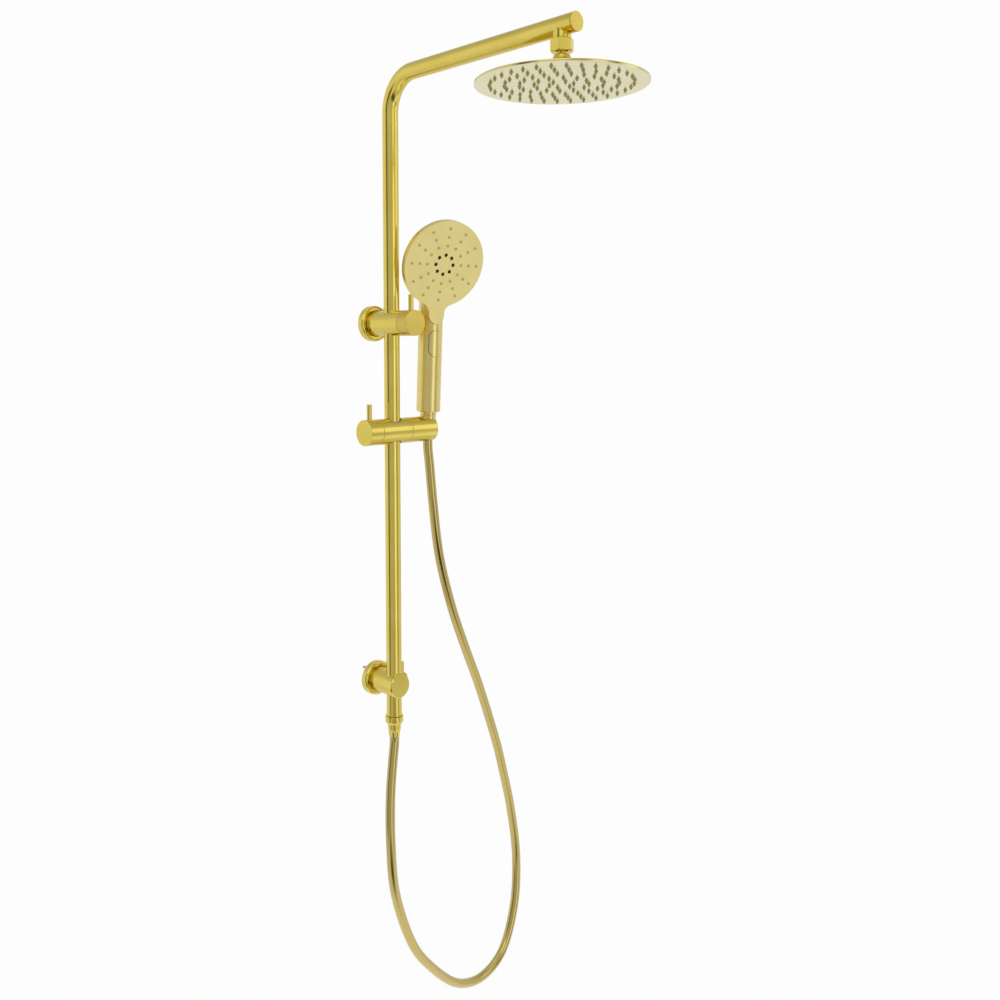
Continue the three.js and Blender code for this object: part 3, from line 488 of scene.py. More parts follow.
@dataclass(frozen=True)
class BrushedMetal(MetalSkin):
    """Plated or coated metal with fine turned brushing: lines round each piece's axis.

    Real lines are about 0.05 mm apart. They are drawn line_mm apart, as fine as they can show.
    """

    depth: float = 0.012
    cloud_mm: float = 38.0
    cloud_top: float = 0.75
    cloud_share: float = 0.5
    line_mm: float = 0.55
    line_length: float = 40.0

    def material(self, grain: Grain) -> bpy.types.Material:
        """The finish with its brushing square to an axis.

        Args:
            grain: the axis that the lines run round.

        Returns:
            The material.
        """
        # Brushing varies gloss in narrow rings, so highlights stretch along the piece and break
        # into faint streaks. Broad clouds of slightly deeper gold are the coating's uneven depth.
        material, tree = blank_material(f"{self.name}_{grain.name.lower()}")
        fine = 1 / (self.line_mm * MM)
        scale = [fine / self.line_length] * 3
        scale[grain.value] = fine
        spot = add(tree, "TexCoord", {}).outputs["Object"]
        stretched = add(tree, "Mapping", {"Vector": spot, "Scale": scale}).outputs["Vector"]
        lines = add(
            tree, "TexNoise", {"Vector": stretched, "Scale": 1.0, "Detail": 3.0, "Roughness": 0.6}
        ).outputs["Fac"]
        self.finish(tree, spot, lines)
        return material


@dataclass(frozen=True)
class SatinPlate(MetalSkin):
    """Moulded ABS with a satin plated skin: a fine even grit that blurs reflections softly."""

    grit_mm: float = 0.35

    def material(self) -> bpy.types.Material:
        """The finish, the same in every direction.

        Returns:
            The material.
        """
        # Blasted moulds leave a matt grit of about 0.05 mm, drawn a little coarser, which gives
        # a pale even sheen with no streaks.
        material, tree = blank_material(self.name)
        spot = add(tree, "TexCoord", {}).outputs["Object"]
        grit_scale = 1 / (self.grit_mm * MM)
        grit = add(
            tree, "TexNoise", {"Vector": spot, "Scale": grit_scale, "Detail": 2.0}
        ).outputs["Fac"]
        self.finish(tree, spot, grit)
        return material


@dataclass(frozen=True)
class HoseSkin:
    """Metallised PVC hose: a foil tape wound in a helix under a clear glossy skin."""

    name: str
    foil: str
    seam: str
    pitch_mm: float = 2.4

    def material(self) -> bpy.types.Material:
        """The finish. Its helix follows the hose by the tube's own UV map.

        Returns:
            The material.
        """
        # The foil reflects like polished brass, the clear PVC over it adds a second sharp gloss,
        # and the tape's laps show as faint slanting lines.
        material, tree = blank_material(self.name)
        route = add(tree, "TexCoord", {}).outputs["UV"]
        split = add(tree, "SeparateXYZ", {"Vector": route})
        along = add(
            tree, "Math", {0: split.outputs["X"], 1: 1 / (self.pitch_mm * MM)},
            operation="MULTIPLY",
        ).outputs["Value"]
        wound = add(
            tree, "Math", {0: along, 1: split.outputs["Y"]}, operation="ADD"
        ).outputs["Value"]
        lap = add(tree, "Math", {0: wound, 1: 1.0}, operation="PINGPONG").outputs["Value"]
        edge = add(
            tree, "MapRange",
            {"Value": lap, "From Min": 0.0, "From Max": 0.35, "To Min": 1.0, "To Max": 0.0},
            interpolation_type="SMOOTHSTEP",
        ).outputs["Result"]
        faint = add(tree, "Math", {0: edge, 1: 0.12}, operation="MULTIPLY").outputs["Value"]
        tone = add(
            tree, "Mix",
            {"Factor": faint, "A": linear(self.foil), "B": linear(self.seam)},
            data_type="RGBA",
        )
        bump = add(
            tree, "Bump",
            {"Height": edge, "Strength": 0.05, "Distance": 0.02 * MM},
            invert=True,
        ).outputs["Normal"]
        surface = add(
            tree, "BsdfPrincipled",
            {
                "Base Color": colour_output(tone), "Metallic": 1.0, "Roughness": 0.15,
                "Normal": bump, "Coat Weight": 0.7, "Coat Roughness": 0.06, "Coat IOR": 1.53,
            },
        )
        add(tree, "OutputMaterial", {"Surface": surface.outputs["BSDF"]})
        return material


@dataclass(frozen=True)
class Moulding:
    """A moulded plastic or rubber: nylon, acetal, silicone or EPDM."""

    name: str
    colour: str
    deep: str
    roughness: float
    ior: float
    grit_mm: float

    def material(self) -> bpy.types.Material:
        """The finish.

        Returns:
            The material.
        """
        # Moulded surfaces have a slight orange peel and small shifts of shade from the fill.
        material, tree = blank_material(self.name)
        spot = add(tree, "TexCoord", {}).outputs["Object"]
        grit_scale = 1 / (self.grit_mm * MM)
        grit = add(
            tree, "TexNoise", {"Vector": spot, "Scale": grit_scale, "Detail": 3.0}
        ).outputs["Fac"]
        tone = add(
            tree, "Mix",
            {"Factor": grit, "A": linear(self.colour), "B": linear(self.deep)},
            data_type="RGBA",
        )
        bump = add(
            tree, "Bump", {"Height": grit, "Strength": 0.15, "Distance": 0.04 * MM}
        ).outputs["Normal"]
        surface = add(
            tree, "BsdfPrincipled",
            {
                "Base Color": colour_output(tone), "Roughness": self.roughness,
                "IOR": self.ior, "Normal": bump,
            },
        )
        add(tree, "OutputMaterial", {"Surface": surface.outputs["BSDF"]})
        return material


class Finishes:
    """Every material of the column, made once."""

    def __init__(self) -> None:
        """Makes the materials."""
        gold = BrushedMetal("brushed_gold_plate", "e9d46c", "dcc351", 0.17, 0.012)
        self.gold_x = gold.material(Grain.ALONG_X)
        self.gold_y = gold.material(Grain.ALONG_Y)
        self.gold_z = gold.material(Grain.ALONG_Z)
        satin_face = BrushedMetal("satin_turned_face", "dcc463", "cdb24c", 0.3, 0.05)
        self.face_x = satin_face.material(Grain.ALONG_X)
        self.face_y = satin_face.material(Grain.ALONG_Y)
        self.handset = SatinPlate("satin_plated_abs", "ecd98c", "e2cb72", 0.27).material()
        self.spray_face = SatinPlate("satin_plated_abs_face", "f3e39a", "e9d687", 0.4).material()
        # The rain head face's pale cream colour is partly its own pale polished metal and partly a
        # painted reflection of the white floor.
        polished = BrushedMetal(
            "polished_steel_pale_gold", "ece4b6", "e2d9a4", 0.2, 0.03, line_mm=0.9, depth=0.03
        )
        self.head_face = polished.material(Grain.ALONG_X)
        self.hose = HoseSkin("metallised_pvc_hose", "c9b468", "9c8843").material()
        brass = BrushedMetal("raw_turned_brass", "c9a24f", "a98337", 0.32, 0.06)
        self.brass = brass.material(Grain.ALONG_Z)
        steel = BrushedMetal("stainless_steel", "c4c6c8", "a9abad", 0.3, 0.05)
        self.steel = steel.material(Grain.ALONG_Z)
        self.nylon = Moulding("grey_nylon", "8b8f93", "74787c", 0.45, 1.53, 0.8).material()
        self.rubber = Moulding("black_epdm_rubber", "1c1c1c", "2a2a2a", 0.75, 1.5, 0.6).material()
        self.acetal = Moulding("white_acetal", "e8e5dc", "dad6cb", 0.4, 1.48, 1.0).material()
        self.silicone = Moulding("olive_silicone", "b9b273", "a39c5c", 0.45, 1.41, 0.7).material()
        self.nozzle = Moulding("pale_silicone", "ddd09a", "cabb80", 0.35, 1.41, 0.7).material()
        # The near-black jet bore colour is painted shade inside the jet holes; the distributor under
        # them is in the plated ABS slot.
        self.jet = Moulding("painted_shade_jet_hole", "2e2408", "241b05", 0.6, 1.5, 0.5).material()

    def by_slot(self, slot: str) -> bpy.types.Material:
        """The material that CAD nodes of a slot wear.

        Args:
            slot: the record's material slot.

        Returns:
            The material.
        """
        slots = {
            "brushed_gold": self.gold_z, "plated_abs": self.handset, "hose_pvc": self.hose,
            "head_face": self.head_face, "raw_brass": self.brass, "steel": self.steel,
            "black_rubber": self.rubber, "silicone": self.silicone, "grey_nylon": self.nylon,
            "white_acetal": self.acetal,
        }
        return slots[slot]


@dataclass
class SubAssembly:
    """What every sub-assembly shares: the finishes, and how a shape becomes a piece."""

    finishes: Finishes

    def piece(
        self,
        name: str,
        bm: BMesh,
        place: Matrix,
        material: bpy.types.Material,
        body: str,
        nodes: Sequence[str],
        slot: str = "brushed_gold",
    ) -> bpy.types.Object:
        """Turns a shape into a finished piece on its body.

        Args:
            name: the piece's name.
            bm: the shape, in its own millimetre frame.
            place: that frame in the riser's frame.
            material: its finish.
            body: the CAD body that it moves with.
            nodes: the CAD nodes that it stands for.
            slot: the record's material slot, which is not used.

        Returns:
            The piece, at the origin with its place in its mesh.
        """
        obj = as_object(name, placed(bm, RISER @ place))
        mesh = obj.data
        mesh.materials.append(material)
        mesh.shade_smooth()
        mesh.set_sharp_from_angle(angle=SHADE_ANGLE)
        even = obj.modifiers.new("even_shading", "WEIGHTED_NORMAL")
        even.keep_sharp = True
        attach(obj, body)
        if nodes:
            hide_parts(*nodes)
        LOG.info("%s rides on %s: %d faces", name, body, len(mesh.polygons))
        return obj


# ------------------------------------------------------------------ pipework and arm
@dataclass
class Pipework(SubAssembly):
    """The bent riser and arm with its cap and outlet boss, and the plain lower riser."""

    wall: float = 1.5
    bend: float = 47.0
    bend_steps: int = 28
    sides: int = 72
    cap_seam: float = 0.5
    boss_wall: float = 4.0
    boss_sunk: float = 1.5

    def build(self) -> None:
        """Makes the four pieces."""
        low, high = reach("riser_pipe")
        self.radius = (high.x - low.x) / 2
        pipe = tube(self.radius, self.radius - self.wall, low.z, high.z, self.sides)
        self.piece(
            "plain_riser", pipe, Matrix.Identity(4), self.finishes.gold_z, "root", ["riser_pipe"]
        )
        self.piece(
            "bent_arm", self.bent_pipe(), Matrix.Identity(4), self.finishes.gold_z, "root", ["arm_pipe"]
        )
        self.end_cap()
        self.outlet_boss()

    def bent_pipe(self) -> BMesh:
        """The riser above the diverter, its bend and the arm, as one tube.

        Returns:
            The tube.
        """
        low, high = reach("arm_pipe")
        arm_z = high.z - self.radius
        bm = bmesh.new()
        start = Matrix.Translation((0, 0, low.z))
        for radius in (self.radius, self.radius - self.wall):
            bmesh.ops.create_circle(
                bm, cap_ends=False, segments=self.sides, radius=radius, matrix=start
            )
        section = bmesh.ops.bridge_loops(bm, edges=bm.edges)["faces"]
        end = self.stretched(bm, section, (0, 0, arm_z - self.bend - low.z))
        turn = bmesh.ops.spin(
            bm, geom=end, cent=(0, -self.bend, arm_z - self.bend), axis=(1, 0, 0), dvec=(0, 0, 0),
            angle=math.pi / 2, steps=self.bend_steps, use_merge=False, use_duplicate=False,
        )
        self.stretched(bm, only(turn["geom_last"], BMFace), (0, low.y + self.bend, 0))
        return closed(bm)

    @staticmethod
    def stretched(
        bm: BMesh, faces: list[BMFace], vec: tuple[float, float, float]
    ) -> list[BMFace]:
        """Pushes the end of the tube along.

        Args:
            bm: the tube.
            faces: the ring of faces at its end.
            vec: how far and which way.

        Returns:
            The ring of faces at the new end.
        """
        grown = bmesh.ops.extrude_face_region(bm, geom=faces)["geom"]
        bmesh.ops.translate(bm, verts=only(grown, BMVert), vec=vec)
        return only(grown, BMFace)

    def end_cap(self) -> None:
        """The arm's cap, with a rounded rim and a spigot inside the pipe."""
        low, high = reach("arm_end_cap")
        front, back = -low.y, -high.y
        seam = -reach("arm_pipe")[0].y
        spigot = self.radius - self.wall
        cap = turned(
            [(0, back), (spigot, back), (spigot, seam), (self.radius, seam),
             (self.radius, front), (0, front)],
            self.sides,
        )
        middle = (low.z + high.z) / 2
        self.piece(
            "arm_cap", softened(cap, self.cap_seam), at(z=middle, axis=Axis.FORWARD),
            self.finishes.face_y, "root", ["arm_end_cap"],
        )

    def outlet_boss(self) -> None:
        """The boss brazed under the arm. Its top runs up into the arm's wall."""
        low, high = reach("arm_outlet_boss")
        radius = (high.x - low.x) / 2
        foot = reach("ball_connector")[1].z + GAP
        boss = tube(radius, radius - self.boss_wall, foot, high.z + self.boss_sunk, self.sides)
        self.piece(
            "arm_boss", softened(boss, 0.4), at(y=(low.y + high.y) / 2), self.finishes.gold_z,
            "root", ["arm_outlet_boss"],
        )


# ------------------------------------------------------------------ rain head
@dataclass
class RainHead(SubAssembly):
    """The overhead rain head: hexagon ball connector, hub, thin shell, face and nozzles."""

    ball_r: float = 9.0
    flats: float = 12.2
    face_t: float = 1.2
    rings: Sequence[tuple[float, int]] = ((14, 6), (31, 12), (48, 20), (65, 26), (82, 32))
    nozzle_r: float = 1.9
    nozzle_tip_r: float = 1.0
    nozzle_out: float = 3.2
    seat_r: float = 2.4

    def build(self) -> None:
        """Makes the connector, hub, shell, face plate and nozzles."""
        low, high = reach("head_face_plate")
        self.centre_y = (low.y + high.y) / 2
        self.radius = (high.x - low.x) / 2
        self.face_z = low.z
        self.connector()
        self.hub()
        self.shell()
        self.face()
        self.nozzles()

    def connector(self) -> None:
        """The hexagon nut with chamfered corners, and the ball and neck below it."""
        nut_low, nut_high = reach("ball_connector")
        ball_flat = 0.85 * self.ball_r
        ball_z = nut_low.z + ball_flat
        foot, top = ball_z + 16.5, nut_high.z
        corner_r = self.flats / math.cos(math.pi / 6)
        block = bmesh.new()
        bmesh.ops.create_cone(
            block, cap_ends=True, segments=6, radius1=corner_r, radius2=corner_r,
            depth=top - foot, matrix=Matrix.Translation((0, 0, (foot + top) / 2)),
        )
        chamfer = 1.5
        inner, outer = self.flats - 0.5, self.flats + chamfer
        rounder = turned(
            [(0, foot), (inner, foot), (outer, foot + chamfer), (outer, top - chamfer),
             (inner, top), (0, top)]
        )
        nut = softened(combined(block, Cut.COMMON, rounder), 0.25, 2)
        stem = 4.6
        ball = turned(
            [(0, ball_z - ball_flat)]
            + arc((0, ball_z), self.ball_r, -58, 59, 14)
            + [(stem, foot + 1), (0, foot + 1)],
            64,
        )
        self.piece(
            "hexagon_connector", combined(nut, Cut.JOIN, ball), at(y=self.centre_y),
            self.finishes.gold_z, "root", ["ball_connector"],
        )

    def hub(self) -> None:
        """The screwed retainer: a flange with a rounded rim and a waisted neck."""
        low, high = reach("ball_retainer")
        rim = (high.x - low.x) / 2
        top, shoulder = high.z, low.z + 7.6
        mouth, neck, throat = 9.3, 9.6, 8.6
        rim_round, fillet, lip = 2.2, 2.4, 0.9
        profile = (
            [(mouth, low.z), (rim, low.z)]
            + arc((rim - rim_round, shoulder - rim_round), rim_round, 0, 90, 6)
            + arc((rim - fillet, shoulder + fillet), fillet, 270, 200, 5)
            + arc((neck - lip, top - lip), lip, 0, 90, 3)
            + [(throat, top), (throat, top - 3)]
        )
        self.piece(
            "hub_retainer", turned(profile), at(y=self.centre_y), self.finishes.gold_z,
            "rain_head", ["ball_retainer"],
        )

    def shell(self) -> None:
        """The thin domed top of the head, closed underneath by the face plate."""
        rim_top = self.face_z + 3
        foot = self.face_z + self.face_t + 0.15
        hub_r = 15.5
        profile = (
            [(self.radius - 3, foot), (self.radius, foot)]
            + arc((self.radius - 0.8, rim_top - 0.8), 0.8, 0, 90, 4)
            + [(78, rim_top + 1.5), (56, rim_top + 3.1), (38, rim_top + 4.6), (27, rim_top + 6.2),
               (20, rim_top + 8.4), (hub_r + 0.8, rim_top + 11.2), (hub_r, rim_top + 13.5),
               (hub_r, rim_top + 15.5), (11, rim_top + 15.5), (11, rim_top + 8), (27, rim_top + 4.9),
               (56, rim_top + 1.9), (78, rim_top + 0.3)]
        )
        bm = turned(profile, 160)
        self.piece(
            "head_dome", bm, at(y=self.centre_y), self.finishes.gold_z, "rain_head",
            ["head_top_shell"],
        )

    def nozzle_places(self) -> list[tuple[float, float]]:
        """Where the nozzles stand on the face.

        Returns:
            The x and y of each, from the face's centre.
        """
        return [
            (ring * math.cos(turn), ring * math.sin(turn))
            for index, (ring, count) in enumerate(self.rings)
            for turn in ((k + index * 0.5) * FULL_TURN / count for k in range(count))
        ]

    def face(self) -> None:
        """The polished face, chamfered round its edge. Its pale colour is partly its own metal and
        partly a painted reflection of the white floor.
        """
        top = self.face_z + self.face_t
        chamfer = 0.4
        plate = turned(
            [(0, self.face_z), (self.radius - chamfer, self.face_z),
             (self.radius, self.face_z + chamfer), (self.radius, top), (0, top)],
            160,
        )
        self.piece(
            "head_face", plate, at(y=self.centre_y), self.finishes.head_face, "rain_head",
            ["head_face_plate"], "head_face",
        )

    def nozzles(self) -> None:
        """All the silicone nozzles: a collar on the face and a pointed tip."""
        whole = bmesh.new()
        face = self.face_z
        for x, y in self.nozzle_places():
            one = turned(
                [(0, face + 0.6), (self.seat_r, face + 0.6), (self.seat_r, face - 0.25),
                 (self.nozzle_r, face - 0.55), (self.nozzle_tip_r, face - self.nozzle_out + 0.3),
                 (self.nozzle_tip_r - 0.3, face - self.nozzle_out), (0, face - self.nozzle_out)],
                14,
            )
            gather(whole, placed(one, Matrix.Translation((x, y, 0))))
        self.piece(
            "rain_nozzles", whole, at(y=self.centre_y), self.finishes.silicone, "rain_head",
            ["head_nozzle_mat"], "silicone",
        )


# ------------------------------------------------------------------ wall brackets
def flange_profile(radius: float, bore: float, back: float, front: float) -> Profile:
    """A wall flange's section: flat back, full round front rim and a groove round the post.

    Args:
        radius: the flange's radius.
        bore: the radius of its hole for the post.
        back: where its back is, along the post.
        front: where its front is.

    Returns:
        The section's corners.
    """
    rim, groove = 3.4, 1.4
    return (
        [(bore, back), (radius, back)]
        + arc((radius - rim, front - rim), rim, 0, 90, 8)
        + arc((bore + groove, front - groove), groove, 90, 180, 5)
    )


def lever_pin(radius: float, foot: float, top: float) -> BMesh:
    """A lever pin about Z, with a small dome of a chamfer on its end."""
    return softened(rod(radius, foot, top, 48), 0.6)


@dataclass
class DiverterBracket(SubAssembly):
    """The upper wall bracket with its flange, diverter knob and lever."""

    seam_round: float = 0.45

    def build(self) -> None:
        """Makes the post, flange, knob and lever."""
        low, high = reach("diverter_post")
        radius = (high.x - low.x) / 2
        axis_z = (low.z + high.z) / 2
        centre = at(z=axis_z, axis=Axis.FORWARD)
        post = softened(rod(radius, -high.y, -low.y), self.seam_round)
        self.piece("diverter_barrel", post, centre, self.finishes.gold_y, "root", ["diverter_post"])

        flange_low, flange_high = reach("upper_flange")
        flange_r = (flange_high.x - flange_low.x) / 2
        ring = turned(flange_profile(flange_r, radius + GAP, -flange_high.y, -flange_low.y))
        self.piece("upper_rose", ring, centre, self.finishes.gold_y, "root", ["upper_flange"])

        knob_low, knob_high = reach("diverter_knob")
        knob = softened(rod(radius, -knob_high.y, -knob_low.y), self.seam_round)
        self.piece(
            "diverter_handle", knob, centre, self.finishes.face_y, "diverter", ["diverter_knob"]
        )
        pin_low, pin_high = reach("diverter_lever")
        pin_r = (pin_high.x - pin_low.x) / 2
        pin = lever_pin(pin_r, pin_low.z, pin_high.z)
        self.piece(
            "diverter_pin", pin, at(y=(pin_low.y + pin_high.y) / 2), self.finishes.gold_z,
            "diverter", ["diverter_lever"],
        )


@dataclass
class OutletBracket(SubAssembly):
    """The lower wall bracket with the stop valve on its side and the hose outlet below."""

    front_chamfer: float = 1.4
    valve_seam: float = 0.4
    stub_bore: float = 5.0

    def build(self) -> None:
        """Makes the post, flange, stop valve, outlet stub and hose coupling."""
        low, high = reach("outlet_post")
        radius = high.z
        flange_low, flange_high = reach("lower_flange")
        wall = flange_high.y
        post = rod(radius, -wall, -low.y)
        front = [e for e in sharp_edges(post) if all(v.co.z > 0 for v in e.verts)]
        bevelled(post, front, self.front_chamfer, 1, clamp=False)
        valve_low, valve_high = reach("stop_valve_knob")
        valve_y = (valve_low.y + valve_high.y) / 2
        valve_r = (valve_high.y - valve_low.y) / 2
        seat = softened(rod(valve_r, 0, valve_low.x - GAP, 64), self.valve_seam)
        placed(seat, at(y=valve_y, axis=Axis.RIGHT))
        whole = combined(placed(softened(post, 0.15, 2), Axis.FORWARD.turn()), Cut.JOIN, seat)
        self.piece(
            "outlet_barrel", whole, Matrix.Identity(4), self.finishes.gold_y, "root",
            ["outlet_post"],
        )

        flange_r = (flange_high.x - flange_low.x) / 2
        ring = turned(flange_profile(flange_r, radius + GAP, -wall, -flange_low.y))
        self.piece(
            "lower_rose", ring, Axis.FORWARD.turn(), self.finishes.gold_y, "root", ["lower_flange"]
        )
        self.stop_valve(valve_low, valve_high, valve_y, valve_r)
        self.coupling()

    def stop_valve(self, low: Vector, high: Vector, valve_y: float, valve_r: float) -> None:
        """The stop valve's knob and its short pin.

        Args:
            low: the knob's lowest corner.
            high: its highest corner.
            valve_y: its axis behind the riser.
            valve_r: its radius.
        """
        knob = softened(rod(valve_r, low.x, high.x, 64), self.valve_seam)
        self.piece(
            "stop_handle", knob, at(y=valve_y, axis=Axis.RIGHT), self.finishes.gold_x,
            "stop_valve", ["stop_valve_knob"],
        )
        pin_low, pin_high = reach("stop_valve_lever")
        pin = lever_pin((pin_high.x - pin_low.x) / 2, pin_low.z, pin_high.z)
        self.piece(
            "stop_pin", pin, at((pin_low.x + pin_high.x) / 2, valve_y), self.finishes.gold_z,
            "stop_valve", ["stop_valve_lever"],
        )

    def coupling(self) -> None:
        """The outlet stub, the hose's coupling nut and its fluted ferrule."""
        stub_low, stub_high = reach("outlet_stub")
        nut_low, nut_high = reach("hose_coupling_nut")
        stub_r = (stub_high.x - stub_low.x) / 2
        stub = softened(tube(stub_r, self.stub_bore, nut_high.z + GAP, stub_high.z, 72), 0.4)
        self.piece(
            "outlet_pipe", stub, Matrix.Identity(4), self.finishes.gold_z, "root",
            ["outlet_stub"],
        )

        nut_r = (nut_high.x - nut_low.x) / 2
        slope, taper, lip = 3.4, 2.3, 2
        thread_r, mouth_r = 9.5, 5.6
        nut = turned(
            [(thread_r, nut_high.z), (nut_r, nut_high.z), (nut_r, nut_low.z + slope),
             (nut_r - taper, nut_low.z), (mouth_r, nut_low.z), (mouth_r, nut_low.z + lip),
             (thread_r, nut_low.z + lip)]
        )
        self.piece(
            "coupling_nut", softened(nut, 0.45), Matrix.Identity(4), self.finishes.gold_z, "root",
            ["hose_coupling_nut"],
        )
        self.ferrule()

    def ferrule(self) -> None:
        """The crimped ferrule: a collar above a cone with twelve flutes pressed into it."""
        low, high = reach("hose_ferrule_lower")
        collar_r = (high.x - low.x) / 2
        collar_foot = high.z - 8.2
        mouth_r = 7.5
        flutes, per_flute = 12, 10
        steps = 14
        cone = [
            (collar_r - 0.5 - (collar_r - 0.5 - mouth_r) * i / steps,
             collar_foot - 0.5 - (collar_foot - 0.5 - low.z) * i / steps)
            for i in range(steps + 1)
        ]
        bm = turned(
            [(4.5, high.z), (collar_r - 0.5, high.z), (collar_r, high.z - 0.5),
             (collar_r, collar_foot)] + cone + [(4.5, low.z)],
            flutes * per_flute,
        )
        length = collar_foot - low.z
        for vert in bm.verts:
            radius = math.hypot(vert.co.x, vert.co.y)
            if vert.co.z < collar_foot - 0.6 and radius > 5:
                angle = math.atan2(vert.co.y, vert.co.x)
                share = min(1.0, (collar_foot - 0.6 - vert.co.z) / (0.25 * length))
                press = 0.55 * share * (0.5 - 0.5 * math.cos(flutes * angle))
                vert.co.x *= 1 - press / radius
                vert.co.y *= 1 - press / radius
        self.piece(
            "crimped_ferrule", bm, Matrix.Identity(4), self.finishes.gold_z, "root",
            ["hose_ferrule_lower"],
        )


# ------------------------------------------------------------------ slider and holder
@dataclass
class Slider(SubAssembly):
    """The slider barrel with its liner, lock knob and lever, and the handset holder."""

    seam_round: float = 0.4
    liner_wall: float = 1.4
    slot_width: float = 15.6

    def build(self) -> None:
        """Makes the barrel, liner, lock and holder."""
        low, high = reach("slider_body")
        holder_low, holder_high = reach("handset_holder")
        self.radius = (high.z - low.z) / 2
        self.axis_z = (low.z + high.z) / 2
        self.barrel(low.x, holder_low.x - GAP)
        self.liner()
        self.lock()
        self.holder(holder_low.x, holder_high.x)

    def barrel(self, left: float, right: float) -> None:
        """The middle barrel, bored for the liner.

        Args:
            left: its left end.
            right: its right end.
        """
        body = softened(placed(rod(self.radius, left, right), Axis.RIGHT.turn()), self.seam_round)
        liner_low, liner_high = reach("slider_liner")
        bore = rod((liner_high.x - liner_low.x) / 2 + 0.2, -2 * self.radius, 2 * self.radius)
        self.piece(
            "slider_barrel", combined(body, Cut.AWAY, bore), at(z=self.axis_z),
            self.finishes.gold_x, "slider", ["slider_body"],
        )

    def liner(self) -> None:
        """The grey liner round the riser, which shows at both mouths of the bore."""
        low, high = reach("slider_liner")
        outer = (high.x - low.x) / 2
        sleeve = tube(outer, outer - self.liner_wall, -self.radius, self.radius)
        inside = placed(rod(self.radius - 0.4, -2 * outer, 2 * outer), Axis.RIGHT.turn())
        self.piece(
            "bore_liner", combined(sleeve, Cut.COMMON, inside), at(z=self.axis_z),
            self.finishes.nylon, "liner", ["slider_liner"], "grey_nylon",
        )

    def lock(self) -> None:
        """The lock knob and its pin."""
        low, high = reach("lock_knob")
        knob = softened(rod(self.radius, -high.x, -low.x), self.seam_round)
        self.piece(
            "lock_handle", knob, at(z=self.axis_z, axis=Axis.LEFT), self.finishes.gold_x, "lock",
            ["lock_knob"],
        )
        pin_low, pin_high = reach("lock_lever")
        pin = lever_pin((pin_high.x - pin_low.x) / 2, pin_low.z, pin_high.z)
        self.piece(
            "lock_pin", pin, at((pin_low.x + pin_high.x) / 2), self.finishes.gold_z, "lock",
            ["lock_lever"],
        )

    def holder(self, left: float, right: float) -> None:
        """The handset holder, with a conical seat open to the right for the hose.

        Args:
            left: its left end.
            right: its right end.
        """
        body = softened(placed(rod(self.radius, left, right), Axis.RIGHT.turn()), self.seam_round)
        over = self.radius + 4
        gap = 0.35
        seat = turned(
            [(0, -over), (Handset.cone_radius(-over) + gap, -over),
             (Handset.cone_radius(over) + gap, over), (0, over)]
        )
        slot = bmesh.new()
        bmesh.ops.create_cube(
            slot, size=1,
            matrix=Matrix.Translation((self.radius, 0, 0))
            @ Matrix.Diagonal((2 * self.radius, self.slot_width, 2 * over, 1)),
        )
        lean = Matrix.Translation((Handset.offset, 0, 0)) @ Matrix.Rotation(Handset.lean, 4, "X")
        shape = combined(body, Cut.AWAY, placed(seat, lean), placed(slot, lean))
        self.piece(
            "holder_barrel", shape, at(z=self.axis_z), self.finishes.gold_x, "holder",
            ["handset_holder"],
        )


